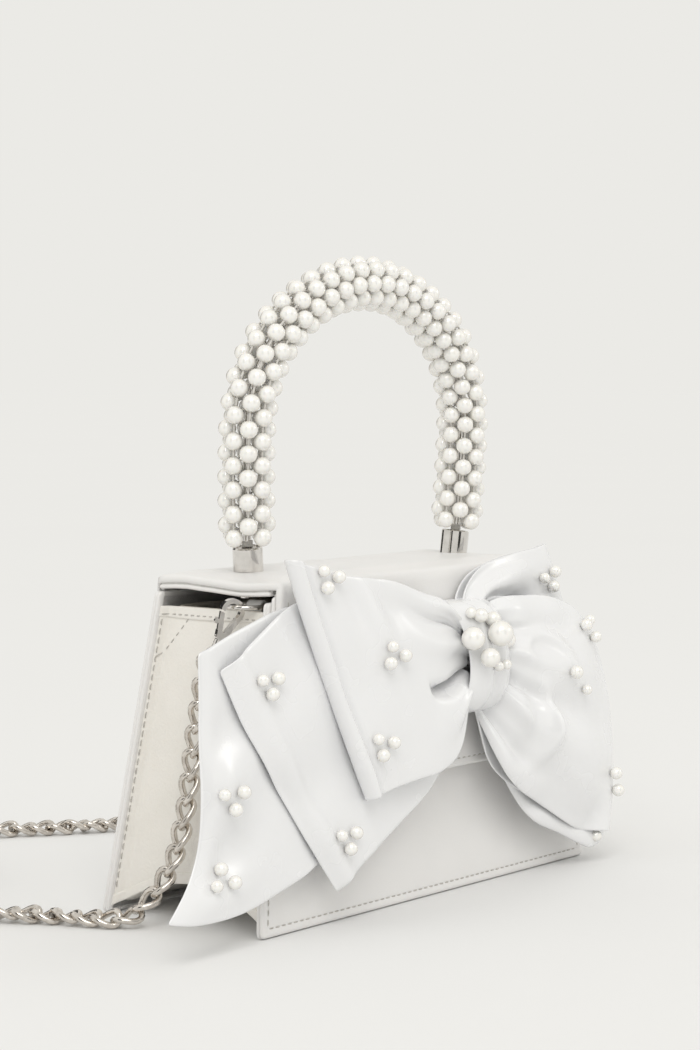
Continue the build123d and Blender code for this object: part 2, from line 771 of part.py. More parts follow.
turns = 2.25
coil_height = 4 * chain_radius + 0.1
cx, cy = coil_centre
with BuildPart() as chain_coil:
    with Locations((cx, cy, coil_height / 2)):
        Cylinder(coil_radius + 1.1 * chain_radius, coil_height)
        Cylinder(coil_radius - 1.2 * chain_radius, coil_height, mode=Mode.SUBTRACT)
    with Locations((left_route[-1][0], left_route[-1][1], 0)):
        Box(
            2 * chain_radius,
            cy - left_route[-1][1],
            2 * chain_radius + 0.1,
            align=(Align.CENTER, Align.MIN, Align.MIN),
        )
    with Locations((right_route[0][0], right_route[0][1], 2 * chain_radius + 0.1)):
        Box(
            right_route[0][0] - cx,
            2 * chain_radius,
            2 * chain_radius,
            align=(Align.MAX, Align.CENTER, Align.MIN),
        )
save(chain_coil.part, "chain_coil")
coil_length = turns * 2 * math.pi * coil_radius + cy - left_route[-1][1] + right_route[0][0] - cx
print("chain length", round(left_length + right_length + coil_length, 1))
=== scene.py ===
"""The looks of a small bridal handbag, built round its CAD frame."""
import json
import math
import random
from bisect import bisect_left

import bpy
from mathutils import Matrix, Vector, noise
from mathutils.bvhtree import BVHTree


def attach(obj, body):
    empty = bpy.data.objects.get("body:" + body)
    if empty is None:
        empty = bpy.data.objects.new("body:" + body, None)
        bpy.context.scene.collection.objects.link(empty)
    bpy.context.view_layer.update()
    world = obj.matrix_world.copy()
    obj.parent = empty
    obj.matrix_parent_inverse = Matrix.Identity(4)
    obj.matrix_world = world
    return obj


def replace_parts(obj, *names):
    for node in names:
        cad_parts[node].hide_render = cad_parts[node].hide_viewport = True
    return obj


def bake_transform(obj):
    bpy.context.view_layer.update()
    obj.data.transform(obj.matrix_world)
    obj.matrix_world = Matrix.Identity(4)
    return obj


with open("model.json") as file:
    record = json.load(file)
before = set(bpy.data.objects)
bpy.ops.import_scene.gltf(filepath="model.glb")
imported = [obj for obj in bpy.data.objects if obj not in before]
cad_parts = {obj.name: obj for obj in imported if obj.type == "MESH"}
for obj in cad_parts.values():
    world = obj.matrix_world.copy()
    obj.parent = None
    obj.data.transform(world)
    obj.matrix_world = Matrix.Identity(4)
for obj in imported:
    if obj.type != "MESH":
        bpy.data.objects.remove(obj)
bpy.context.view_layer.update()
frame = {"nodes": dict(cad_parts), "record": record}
nodes = frame["nodes"]
scene = bpy.context.scene
random.seed(7)

MM = 0.001
BAG, LID, FLAP = "bag", "lid", "flap"

# ---- the bag's own planes, as part.py has them; millimetres in, metres out -----------------------
BAG_HIGH, FOOT_WIDE, NARROWS = 120, 200, 42
FOOT_Y, LID_Y, LID_X = 37.5, 29, 79.0
WALL = 3.0
FRONT_COS, FRONT_SIN = math.cos(math.radians(6.64)), math.sin(math.radians(6.64))
BACK_LEAN = math.atan2(FOOT_Y - LID_Y, BAG_HIGH)
BACK_COS, BACK_SIN = math.cos(BACK_LEAN), math.sin(BACK_LEAN)


def half_width(z):
    return (FOOT_WIDE - NARROWS * z / BAG_HIGH) / 2


def metres(x, y, z):
    return Vector((x * MM, y * MM, z * MM))


def on_front(x, v, w):
    return metres(x, -FOOT_Y + v * FRONT_SIN - w * FRONT_COS, v * FRONT_COS + w * FRONT_SIN)


def on_back(x, v, w):
    return metres(x, FOOT_Y - v * BACK_SIN + w * BACK_COS, v * BACK_COS + w * BACK_SIN)


def on_flap(x, v, w):
    return metres(x, -LID_Y + v * FRONT_SIN - w * FRONT_COS, BAG_HIGH + v * FRONT_COS + w * FRONT_SIN)


def on_lid(x, v, w):
    return metres(x, v, BAG_HIGH + w)


def front_inside(z, depth):
    return -FOOT_Y + z * FRONT_SIN / FRONT_COS + depth / FRONT_COS


def back_inside(z, depth):
    return FOOT_Y - z * BACK_SIN / BACK_COS - depth / BACK_COS


def arched(u, low, rise):
    """Height of the arched base, u from 0 at the front to 1 at the back."""
    return low + (rise - low) * (1 - (2 * u - 1) ** 2)


def clamp(t):
    return min(max(t, 0), 1)


def smooth(t):
    t = clamp(t)
    return t * t * (3 - 2 * t)


def bell(value, middle, width):
    return math.exp(-(((value - middle) / width) ** 2))


# ---- materials --------------------------------------------------------------------------------
class Shader:
    """A Principled material whose colour, roughness and bump come from small node chains."""

    def __init__(self, name, **sockets):
        self.material = bpy.data.materials.new(name)
        self.material.use_nodes = True
        self.tree = self.material.node_tree
        self.bsdf = self.tree.nodes["Principled BSDF"]
        for key, value in sockets.items():
            self.bsdf.inputs[key.replace("_", " ")].default_value = value
        self.coords = self.tree.nodes.new("ShaderNodeTexCoord").outputs["Object"]
        self.height = None
    def link(self, a, b):
        self.tree.links.new(a, b)

    def scaled(self, size):
        mapping = self.tree.nodes.new("ShaderNodeMapping")
        mapping.inputs["Scale"].default_value = size
        self.link(self.coords, mapping.inputs["Vector"])
        return mapping.outputs["Vector"]

    def noise(self, per_metre, detail=3.0, stretch=(1, 1, 1), rough=0.5):
        node = self.tree.nodes.new("ShaderNodeTexNoise")
        node.inputs["Scale"].default_value = 1
        node.inputs["Detail"].default_value = detail
        node.inputs["Roughness"].default_value = rough
        self.link(self.scaled([per_metre * s for s in stretch]), node.inputs["Vector"])
        return node.outputs["Fac"]

    def cells(self, per_metre):
        node = self.tree.nodes.new("ShaderNodeTexVoronoi")
        node.feature = "SMOOTH_F1"
        node.inputs["Scale"].default_value = 1
        self.link(self.scaled([per_metre] * 3), node.inputs["Vector"])
        return node.outputs["Distance"]

    def waves(self, per_metre, axis):
        node = self.tree.nodes.new("ShaderNodeTexWave")
        node.bands_direction = axis
        node.inputs["Scale"].default_value = 1
        node.inputs["Distortion"].default_value = 0.6
        self.link(self.scaled([per_metre] * 3), node.inputs["Vector"])
        return node.outputs["Fac"]

    def maths(self, how, a, b):
        node = self.tree.nodes.new("ShaderNodeMath")
        node.operation = how
        for socket, value in zip(node.inputs, (a, b)):
            if isinstance(value, (int, float)):
                socket.default_value = value
            else:
                self.link(value, socket)
        return node.outputs[0]

    def colour(self, fac, low, high, at=(0.3, 0.7)):
        ramp = self.tree.nodes.new("ShaderNodeValToRGB")
        for stop, place, value in zip(ramp.color_ramp.elements, at, (low, high)):
            stop.position = place
            stop.color = (*value, 1)
        self.link(fac, ramp.inputs["Fac"])
        self.link(ramp.outputs["Color"], self.bsdf.inputs["Base Color"])

    def rough(self, fac, low, high):
        node = self.tree.nodes.new("ShaderNodeMapRange")
        node.inputs["To Min"].default_value = low
        node.inputs["To Max"].default_value = high
        self.link(fac, node.inputs["Value"])
        self.link(node.outputs["Result"], self.bsdf.inputs["Roughness"])

    def bump(self, height, strength, depth_mm):
        node = self.tree.nodes.new("ShaderNodeBump")
        node.inputs["Strength"].default_value = strength
        node.inputs["Distance"].default_value = depth_mm * MM
        self.link(height, node.inputs["Height"])
        if self.height is not None:
            self.link(self.height, node.inputs["Normal"])
        self.height = node.outputs["Normal"]
        self.link(self.height, self.bsdf.inputs["Normal"])


def leather(name, colour, shade, roughness, grain=(1, 1, 1), depth=0.05, crumple=0.5):
    s = Shader(name, Specular_IOR_Level=0.45, Subsurface_Weight=0.06, Subsurface_Radius=(0.004, 0.0035, 0.003))
    s.colour(s.noise(38, 4), shade, colour, (0.3, 0.62))
    s.rough(s.noise(210, 3), roughness - 0.03, roughness + 0.05)
    s.bump(s.noise(26, 2, rough=0.4), crumple, 0.5)
    s.bump(s.noise(1500, 4, grain, 0.6), 0.6, depth)
    s.bump(s.cells(1150), 0.35, depth)
    return s.material


def plain(name, tones, roughs, bump=None, **sockets):
    """A material from noises, each given as (noise arguments, low, high or strength, depth)."""
    s = Shader(name, **sockets)
    s.colour(s.noise(*tones[0]), *tones[1:])
    s.rough(s.noise(*roughs[0]), *roughs[1:])
    if bump:
        s.bump(s.noise(*bump[0]), *bump[1:])
    return s.material


def satin_cloth():
    s = Shader(
        "satin", Specular_IOR_Level=1.0, Sheen_Weight=0.05, Sheen_Roughness=0.3, Coat_Weight=0.6,
        Coat_Roughness=0.26, Subsurface_Weight=0.05, Subsurface_Radius=(0.004, 0.004, 0.0035),
    )
    s.colour(s.noise(30, 2), (0.825, 0.828, 0.838), (0.85, 0.853, 0.863))
    s.rough(s.noise(60, 2), 0.25, 0.29)
    s.bump(s.noise(26, 1, rough=0.2), 0.5, 1.4)
    warp = s.waves(760, "X")
    weft = s.maths("MULTIPLY", s.waves(420, "Z"), 0.5)
    s.bump(s.maths("ADD", warp, weft), 0.06, 0.02)
    return s.material


def woven_lining():
    s = Shader("lining_cloth", Sheen_Weight=0.3)
    s.colour(s.noise(90, 4), (0.74, 0.68, 0.58), (0.83, 0.78, 0.69))
    weave = s.maths("MULTIPLY", s.waves(900, "X"), s.waves(900, "Z"))
    s.rough(s.noise(400, 2), 0.75, 0.95)
    s.bump(weave, 0.7, 0.12)
    s.bump(s.noise(60, 3), 0.4, 0.6)
    return s.material


def imitation_pearl():
    """Painted shade: darker towards each pearl's rim, where it turns from the eye, and brighter where it faces
    it.
    """
    s = Shader(
        "pearl", Specular_IOR_Level=1.0, Coat_Weight=1.0, Coat_IOR=1.95, Coat_Roughness=0.05,
        Subsurface_Weight=0.1, Subsurface_Radius=(0.003, 0.0026, 0.002),
    )
    facing = s.tree.nodes.new("ShaderNodeLayerWeight")
    facing.inputs["Blend"].default_value = 0.35
    # Painted shade: the facing mask darkens each pearl towards its rim; the cloud noise adds a random tone.
    painted_rim_shade = s.maths("MULTIPLY", facing.outputs["Facing"], 0.8)
    cloud = s.maths("MULTIPLY", s.noise(130, 2), 0.25)
    s.colour(s.maths("ADD", painted_rim_shade, cloud), (0.96, 0.95, 0.92), (0.7, 0.66, 0.59), (0.15, 0.95))
    s.rough(s.noise(700, 3), 0.1, 0.2)
    s.bump(s.noise(1800, 3), 0.08, 0.02)
    return s.material


def thread_with_painted_hole_shade():
    s = Shader("thread", Sheen_Weight=0.3)
    # Painted shade: the thread is coloured grey to stand for the shadows in its stitch holes; the noise varies
    # its tone at random.
    s.colour(s.noise(1500, 2), (0.42, 0.4, 0.37), (0.6, 0.58, 0.54))
    s.rough(s.noise(1200, 2), 0.5, 0.7)
    s.bump(s.waves(2600, "DIAGONAL"), 0.5, 0.06)
    return s.material


edge_paint = plain(
    "edge_paint", ((500, 3, (0.3, 0.3, 1)), (0.5, 0.49, 0.47), (0.68, 0.67, 0.65)),
    ((600, 2), 0.4, 0.6), ((900, 3), 0.3, 0.1),
)
thread = thread_with_painted_hole_shade()
clear_thread = plain(
    "clear_thread", ((900, 2), (0.55, 0.53, 0.5), (0.7, 0.68, 0.64)),
    ((900, 2), 0.25, 0.4), ((2000, 2), 0.2, 0.03), Specular_IOR_Level=0.6,
)
BY_SLOT = {
    "white_leather": leather(
        "white_leather", (0.815, 0.805, 0.795), (0.795, 0.785, 0.775), 0.38, crumple=0.25,
    ),
    "cream_leather": leather(
        "cream_leather", (0.84, 0.815, 0.77), (0.79, 0.765, 0.715), 0.5, (1, 1, 0.07), 0.2, 0.35,
    ),
    "stiff_board": edge_paint,
    "lining_cloth": woven_lining(),
    "nickel": plain(
        "nickel", ((300, 3), (0.66, 0.64, 0.61), (0.78, 0.755, 0.725)),
        ((900, 4, (1, 1, 0.3)), 0.07, 0.16), ((1400, 2), 0.12, 0.03), Metallic=1.0,
    ),
    "chain": plain(
        "chain_metal", ((420, 3), (0.56, 0.52, 0.475), (0.8, 0.755, 0.7)),
        ((800, 4), 0.12, 0.24), ((1200, 3), 0.2, 0.04), Metallic=1.0,
    ),
    "edge_paint": edge_paint,
    "pearl": imitation_pearl(),
    "satin": satin_cloth(),
}
for part in frame["record"]["subparts"]:
    mesh = nodes[part["node"]].data
    mesh.materials.clear()
    mesh.materials.append(BY_SLOT[part["material_slot"]])

# ---- mesh helpers --------------------------------------------------------------------------------


def piece(name, points, faces, body, slot, material=None, smoothed=True):
    """A mesh that takes its slot's own material unless it is given another."""
    mesh = bpy.data.meshes.new(name)
    mesh.from_pydata([tuple(p) for p in points], [], faces)
    mesh.validate()
    mesh.materials.append(material or BY_SLOT[slot])
    for face in mesh.polygons:
        face.use_smooth = smoothed
    made = bpy.data.objects.new(name, mesh)
    scene.collection.objects.link(made)
    if body:
        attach(made, body)
    return made


def baked(made, *modifiers):
    """Applies modifiers, given as (type, settings), to a piece's mesh."""
    for kind, settings in modifiers:
        modifier = made.modifiers.new(kind, kind)
        for key, value in settings.items():
            setattr(modifier, key, value)
    bpy.context.view_layer.update()
    evaluated = made.evaluated_get(bpy.context.evaluated_depsgraph_get())
    mesh = bpy.data.meshes.new_from_object(evaluated)
    made.modifiers.clear()
    made.data = mesh
    for face in mesh.polygons:
        face.use_smooth = True
    return made


def between(a, b, count, closed=False):
    """Faces between two rows of points that start at a and b."""
    return [
        (a + i, a + (i + 1) % count, b + (i + 1) % count, b + i)
        for i in range(count if closed else count - 1)
    ]


def grid(name, at, across, along, body, slot, thick=0.0, level=0):
    """A sheet at(u, v), u and v from 0 to 1, made thick behind its face; also its area."""
    points = [at(i / across, j / along) for j in range(along + 1) for i in range(across + 1)]
    row = across + 1
    faces = [face for j in range(along) for face in between(j * row, (j + 1) * row, row)]
    made = piece(name, points, faces, body, slot)
    area = sum(face.area for face in made.data.polygons)
    if thick:
        thicken(made, thick, -1.0, level, even=True)
    return made, area


def thicken(made, thick, offset, level=1, even=False):
    solid = {"thickness": thick * MM, "offset": offset, "use_even_offset": even}
    rounded = [("SUBSURF", {"levels": level, "render_levels": level})] if level else []
    baked(made, ("SOLIDIFY", solid), *rounded)


def outline(corners, radius, inset, spacing=7.0, arc=5):
    """Points round a convex outline, inset from its edges, with the same count at every inset."""
    count = len(corners)
    lines = []
    for a, b in zip(corners, corners[1:] + corners[:1]):
        run = (Vector(b) - Vector(a)).normalized()
        inward = Vector((-run.y, run.x))
        lines.append((Vector(a) + inward * inset, run))
    inner = []
    for (p, d), (q, e) in zip(lines[-1:] + lines[:-1], lines):
        cross = d.x * e.y - d.y * e.x
        inner.append(p + d * (((q - p).x * e.y - (q - p).y * e.x) / cross))
    ring = []
    for i, corner in enumerate(inner):
        before = (inner[i - 1] - corner).normalized()
        after = (inner[(i + 1) % count] - corner).normalized()
        reach = max(radius - inset, 0.12) / math.tan(before.angle(after) / 2)
        start, stop = corner + before * reach, corner + after * reach
        for k in range(arc + 1):
            t = k / arc
            ring.append(start * (1 - t) ** 2 + corner * (2 * t * (1 - t)) + stop * t**2)
        following = inner[(i + 1) % count]
        beyond = (inner[(i + 2) % count] - following).normalized()
        back = (corner - following).normalized()
        end = following + back * (max(radius - inset, 0.12) / math.tan(back.angle(beyond) / 2))
        pieces = max(2, round((Vector(corners[(i + 1) % count]) - Vector(corners[i])).length / spacing))
        for k in range(1, pieces):
            ring.append(stop.lerp(end, k / pieces))
    return ring


def plate(name, at, corners, radius, profile, body, slot):
    """A thin padded plate: rings of (inset, height) round an outline, from its face round its edge
    to its back, on the plane at(x, v, w)."""
    rings = [[at(p.x, p.y, w) for p in outline(corners, radius, inset)] for inset, w in profile]
    n = len(rings[0])
    points = [p for ring in rings for p in ring]
    faces = [face[::-1] for r in range(len(rings) - 1) for face in between(r * n, (r + 1) * n, n, True)]
    last = (len(rings) - 1) * n
    faces += [tuple(range(n)), tuple(range(last + n - 1, last - 1, -1))]
    return piece(name, points, faces, body, slot)


def bead_points(centre, radius, turns=14):
    """A sphere's points and faces."""
    points = [centre + Vector((0, 0, radius))]
    rows = turns // 2
    for j in range(1, rows):
        high = math.pi * j / rows
        for i in range(turns):
            side = 2 * math.pi * i / turns
            way = Vector((math.sin(high) * math.cos(side), math.sin(high) * math.sin(side), math.cos(high)))
            points.append(centre + radius * way)
    points.append(centre - Vector((0, 0, radius)))
    faces = [(0, 1 + i, 1 + (i + 1) % turns) for i in range(turns)]
    for j in range(rows - 2):
        a, b = 1 + j * turns, 1 + (j + 1) * turns
        faces += [(a + i, b + i, b + (i + 1) % turns, a + (i + 1) % turns) for i in range(turns)]
    a, last = 1 + (rows - 2) * turns, len(points) - 1
    faces += [(a + i, last, a + (i + 1) % turns) for i in range(turns)]
    return points, faces


def merged(name, shapes, body, slot, material=None):
    """One piece from several (points, faces) shapes."""
    points, faces = [], []
    for shape_points, shape_faces in shapes:
        start = len(points)
        points += shape_points
        faces += [tuple(start + k for k in face) for face in shape_faces]
    return piece(name, points, faces, body, slot, material)


def tube(path, radius, sides=6, closed=False, ends=0.25):
    """A round tube along points; its radius narrows at open ends."""
    count = len(path)
    points = []
    side = None
    for i, p in enumerate(path):
        a = path[i - 1] if i or closed else path[0]
        b = path[(i + 1) % count] if i < count - 1 or closed else path[-1]
        run = (b - a).normalized()
        if side is None:
            side = run.orthogonal()
        side = (side - run * side.dot(run)).normalized()
        other = run.cross(side)
        r = radius if closed or 0 < i < count - 1 else radius * ends
        for k in range(sides):
            turn = 2 * math.pi * k / sides
            points.append(p + side * (r * math.cos(turn)) + other * (r * math.sin(turn)))
    faces = []
    for i in range(count if closed else count - 1):
        faces += between(i * sides, ((i + 1) % count) * sides, sides, True)
    if not closed:
        faces += [tuple(range(sides - 1, -1, -1)), tuple(range((count - 1) * sides, count * sides))]
    return points, faces


def stitch_row(at, path, pitch=3.3, length=2.2, radius=0.27, proud=0.02):
    """Short stitches along a line of (x, v) points; each dips into the leather at its ends."""
    shapes = []
    spare = pitch / 2
    for a, b in zip(path, path[1:]):
        a, b = Vector(a), Vector(b)
        run = (b - a).normalized()
        far = (b - a).length
        while spare < far:
            middle = a + run * spare
            line = []
            for t in (-1, -0.6, 0, 0.6, 1):
                p = middle + run * (t * length / 2)
                line.append(at(p.x, p.y, proud - 0.35 * t * t))
            shapes.append(tube(line, radius * MM, 6, ends=0.6))
            spare += pitch * random.uniform(0.97, 1.03)
        spare -= far
    return shapes


def distances(points):
    """How far along a line each of its points lies."""
    reach = [0.0]
    for a, b in zip(points, points[1:]):
        reach.append(reach[-1] + (b - a).length)
    return reach


def stretch_at(reach, distance):
    """The stretch of a line that a distance falls in, and how far through it."""
    i = min(max(bisect_left(reach, distance) - 1, 0), len(reach) - 2)
    return i, (distance - reach[i]) / max(reach[i + 1] - reach[i], 1e-9)


def curve_through(points, count):
    """count + 1 points along a smooth curve through the given ones, evenly spaced."""
    points = [Vector(p) for p in points]
    dense = []
    for i in range(len(points) - 1):
        p0 = points[max(i - 1, 0)]
        p1, p2 = points[i], points[i + 1]
        p3 = points[min(i + 2, len(points) - 1)]
        for k in range(12):
            t = k / 12
            square = (2 * p0 - 5 * p1 + 4 * p2 - p3) * t**2
            cube = (3 * p1 - p0 - 3 * p2 + p3) * t**3
            dense.append(0.5 * (2 * p1 + (p2 - p0) * t + square + cube))
    dense.append(points[-1])
    reach = distances(dense)
    out = []
    for i in range(count + 1):
        k, t = stretch_at(reach, reach[-1] * i / count)
        out.append(dense[k].lerp(dense[k + 1], min(t, 1)))
    return out


def along_path(path, v):
    """The point a share v of the way through a list of points, by their number."""
    place = v * (len(path) - 1)
    i = min(int(place), len(path) - 2)
    return path[i].lerp(path[i + 1], place - i)


# ---- front and back panels ---------------------------------------------------------------------
# Rings of (inset, height): a sewn channel near the edge, then two rolled edges one over the other.
PANEL_RINGS = [
    (32, 0.1), (14, 0.12), (5.5, 0.06), (3.9, 0), (3.4, -0.06), (3.1, -0.24), (2.8, -0.06), (2.3, 0.03),
    (1.3, 0.02), (0.5, -0.16), (0.1, -0.55), (0, -0.9), (0.12, -1.25), (0.5, -1.45), (0.5, -1.58),
    (0.12, -1.8), (0, -2.15), (0.1, -2.55), (0.5, -2.9), (1.6, -3.0), (8, -3.0),
]


PANEL_SEAM = 3.1


def panel_corners(high, cosine):
    low, top = 0.45, high / cosine
    return [(-half_width(0), low), (half_width(0), low), (half_width(high), top), (-half_width(high), top)]


def panel_stitches(at, high, cosine):
    foot_x, foot_v = half_width(0) - PANEL_SEAM - 1, PANEL_SEAM + 0.45
    left = [(PANEL_SEAM - half_width(z), z / cosine) for z in (4, high - 3)]
    shapes = stitch_row(at, [(-foot_x, foot_v), (foot_x, foot_v)])
    shapes += stitch_row(at, left)
    return shapes + stitch_row(at, [(-x, v) for x, v in left])


PANELS = (("front", on_front, 113, 113, FRONT_COS), ("back", on_back, 114.4, 114, BACK_COS))
for name, at, high, sewn_to, cosine in PANELS:
    panel = plate(
        f"{name}_panel_leather", at, panel_corners(high, cosine), 2.2, PANEL_RINGS, BAG, "white_leather",
    )
    if name == "back":
        panel.data.flip_normals()
    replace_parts(panel, f"{name}_panel", f"{name}_edge_binding")
for name, at, high, sewn_to, cosine in PANELS:
    merged(f"{name}_panel_stitches", panel_stitches(at, sewn_to, cosine), BAG, "white_leather", thread)
# ---- gussets, base, lining and pocket -------------------------------------------------------------


def gusset_point(side, u, z, depth):
    """On a gusset: u from the front panel to the back one, depth in from its outer face. Its two
    margins turn outward along the panels."""
    u = -0.03 + 1.06 * u
    belly = 0.9 * math.sin(math.pi * u) * math.sin(math.pi * clamp(z / 109))
    y = front_inside(z, WALL) * (1 - u) + back_inside(z, WALL) * u
    margin = 3.0 * (smooth((u - 0.95) / 0.045) + smooth((0.05 - u) / 0.045))
    return metres(side * (half_width(z) - 5.0 - belly - depth + margin), y, z)


def gusset_face(side, low_z, high_z, depth, wave=0.0):
    def at(u, v):
        if side < 0:
            u = 1 - u
        z = low_z(u) * (1 - v) + high_z(u) * v
        ripple = wave * math.sin(9 * u + 2 * v)
        return gusset_point(side, u, z, depth + ripple)

    return at


def base_line(u):
    return arched(u, 2.6, 15)


for side, name in ((-1, "left"), (1, "right")):
    sheets = (
        ("leather", base_line, lambda u: 108.7, 0.0, 0.0, 28, 1.8),
        ("hem", lambda u: 104.9 + 0.25 * math.sin(7 * u), lambda u: 109.2, -0.55, 0.06, 4, 0.7),
        ("foot_hem", lambda u: arched(u, 1.4, 13.6), lambda u: arched(u, 5.2, 17.4), -0.5, 0.04, 4, 0.9),
    )
    for sheet, low_z, high_z, depth, wave, along, thick in sheets:
        face = gusset_face(side, low_z, high_z, depth, wave)
        made, _ = grid(f"gusset_{name}_{sheet}", face, 60, along, BAG, "cream_leather", thick, 1)
        if sheet == "leather":
            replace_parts(made, f"gusset_{name}")

    def on_gusset(u_mm, z, w, side=side):
        return gusset_point(side, u_mm / 60, z, -w)

    rows = stitch_row(on_gusset, [(2.2, 106.2), (57.8, 106.2)], proud=0.62)
    for seam in ([(57.4, 105), (57.9, 9)], [(2.6, 105), (2.1, 9)], [(45, 105.5), (57.4, 91)]):
        rows += stitch_row(on_gusset, seam, proud=0.1)
    merged(f"gusset_{name}_stitches", rows, BAG, "cream_leather", thread)


def base_at(u, v):
    z = base_line(u)
    y = front_inside(z, WALL) * (1 - u) + back_inside(z, WALL) * u
    return metres((2 * v - 1) * (half_width(z) - 6.9), y, z)


base, _ = grid("base_leather", base_at, 16, 24, BAG, "cream_leather", 2.2, 1)
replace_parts(base, "base_panel")


def lining_ring(t, z, inset):
    """Round the inside of the bag at one height, t from 0 to 1, its corners a little rounded."""
    hx = half_width(z) - 7.0 - inset
    y0, y1 = front_inside(z, 3.1 + inset), back_inside(z, 3.1 + inset)
    mid, hy = (y0 + y1) / 2, (y1 - y0) / 2
    a = 2 * math.pi * t
    c, s = math.cos(a), math.sin(a)
    k = (abs(c) ** 14 + abs(s) ** 14) ** (-1 / 14)
    sag = 0.5 * math.sin(5 * a) * math.sin(math.pi * min(z / 109, 1)) * (inset > 0.2)
    return metres((hx - abs(sag) * abs(c * k)) * c * k, mid + (hy - abs(sag) * abs(s * k)) * s * k, z)


LINING_LEVELS = [
    (108.6, 0.0), (109.0, 0.3), (108.6, 0.8), (105, 0.75), (104.4, 0.6), (85, 0.7), (60, 0.75),
    (35, 0.7), (20, 0.7),
]


def lining_at(u, v):
    """Down the wall through its levels, then in across the bottom."""
    last = len(LINING_LEVELS) - 1
    place = v * (last + 4)
    i = int(place)
    if i < last:
        z, inset = Vector(LINING_LEVELS[i]).lerp(Vector(LINING_LEVELS[i + 1]), place - i)
        return lining_ring(u, z, inset)
    p = lining_ring(u, *LINING_LEVELS[-1]) * (1 - (place - last) / 4)
    p.z = arched(clamp((p.y / MM + 37) / 74), 6.0, 18.3) * MM
    return p


lining_shell, _ = grid("lining_cloth_shell", lining_at, 96, 60, BAG, "lining_cloth")
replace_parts(lining_shell, "bag_lining")


def pocket_at(u, v):
    slack = 1.9 * math.sin(math.pi * u) ** 0.5 * (0.35 + 0.65 * v)
    return on_back(45 - 90 * u, 40 + 50 * v - 1.2 * v * math.sin(math.pi * u), -4.15 - slack)


pocket, _ = grid("pocket_cloth", pocket_at, 24, 14, BAG, "lining_cloth", 0.7, 1)
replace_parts(pocket, "inner_pocket")
pocket_seam = [(-43.5, 88), (-43.5, 42), (43.5, 42), (43.5, 88)]
merged(
    "pocket_stitches", stitch_row(lambda x, v, w: on_back(x, v, -4.9 - w), pocket_seam),
    BAG, "lining_cloth", thread,
)

for side, name in ((-1, "left"), (1, "right")):
    def tab_at(u, v, side=side):
        """A leather loop over the ring's straight bar, both its ends sewn down inside the gusset."""
        turn = smooth((v - 0.32) / 0.36) * math.pi
        down = 14.5 * (max(0.32 - v, 0) + max(v - 0.68, 0)) / 0.32
        reach = 1.55
        x = 69.65 + reach * math.cos(turn) * (1 if down == 0 else 1 - 0.4 * smooth(down / 5))
        z = 110.7 - down + (reach * math.sin(turn) if down == 0 else 0)
        return metres(side * x, -10 + side * (3.5 - 7 * u), z)

    tab, _ = grid(f"ring_tab_{name}_leather", tab_at, 6, 40, BAG, "white_leather")
    tab.data.flip_normals()
    thicken(tab, 0.8, 0.0)
    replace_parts(tab, f"ring_tab_{name}")
# ---- lid and flap: one leather skin over the crease ---------------------------------------------
# Rolled edges as (inset from the edge, height), and the same lines along the cover's two ends.
EDGE = [
    (1.1, -2.95), (0.45, -2.85), (0.08, -2.3), (0, -1.6), (0.12, -0.9), (0.55, -0.35), (1.3, -0.05),
    (2.4, 0.03), (3.05, -0.16), (3.5, 0), (5, 0.05), (9, 0.1),
]
BACK_END = [
    (1.1, -2.95), (0.45, -2.8), (0.08, -2.2), (0, -1.5), (0.15, -0.8), (0.6, -0.3), (1.4, -0.02),
    (2.6, 0.05), (3.9, 0.05),
]
FLAP_END = [(0.6, -0.2), (0.14, -0.8), (0, -1.6), (0.2, -2.4), (0.9, -2.9)]
FLAP_LONG, FLAP_CHANNEL, CREASE_R, CREASE_TURN = 74.5, -71.5, 2.5, 83.36


def skin_rows():
    """The cover's line in the YZ plane, from the lid's back edge to the flap's lower edge:
    (point, outward, half width)."""
    rows = []

    def add(place, level, v, w):
        p = place(0, v, w) / MM
        q = place(0, v, w + 1) / MM
        rows.append((p, q - p, level(p.z)))

    for back_in, w in BACK_END:
        add(on_lid, lambda z: LID_X, LID_Y - back_in, w)
    for y in (22, 18.5, 15, 11.5, 8, 4, 0, -4, -8, -12, -15, -18, -20.5, -22.5, -24, -25.6):
        add(on_lid, lambda z: LID_X, y, 0.05)
    for k in range(1, 8):
        turn = math.radians(90 - CREASE_TURN * k / 8)
        out = Vector((0, -math.cos(turn), math.sin(turn)))
        rows.append((Vector((0, -26.55, 117.5)) + out * CREASE_R, out, LID_X))
    down_flap = (
        -3.2, -5, -8, -13, -18, -24, -30, -36, -42, -48, -54, -60, -65, -68.5, -70.8, -71.25,
        FLAP_CHANNEL, -71.75, -72.3, -73.2,
    )
    for v in down_flap:
        add(on_flap, half_width, v, -0.2 if v == FLAP_CHANNEL else 0.03)
    for low, w in FLAP_END:
        add(on_flap, half_width, low - FLAP_LONG, w)
    return rows


def edge_wave(y):
    """The lid's end edges rise and dip a little along the bag."""
    return 0.75 * bell(y, 17, 8.0) - 1.0 * bell(y, -10, 9.0)


def cover_row(index, p, out, wide):
    """One line of the cover's points from side to side."""
    ease = 2.6 * (1 - math.sin(math.pi / 2 * index / 8)) if index < len(BACK_END) else 0
    left = [(-(wide - inset - ease), w) for inset, w in EDGE] + [(-66, 0.1)]
    middle = [(x, 0.1) for x in range(-55, 56, 10)]
    on_top = p.z > 118 and out.z > 0.5
    row = []
    for x, w in left + middle + [(-x, w) for x, w in reversed(left)]:
        edge = smooth((abs(x) - 60) / 18) if p.z > 119 else 0
        wobble = 0.16 * noise.noise(Vector((x * 0.045, p.y * 0.06, p.z * 0.06)))
        inside = min((LID_X - abs(x)) / 13, (LID_Y - p.y) / 13, (p.y + LID_Y) / 10)
        dome = 1.75 * smooth(inside) if on_top else 0
        depth = w + wobble + edge_wave(p.y) * edge + dome
        row.append(Vector((x, p.y + out.y * depth, p.z + out.z * depth)) * MM)
    return row


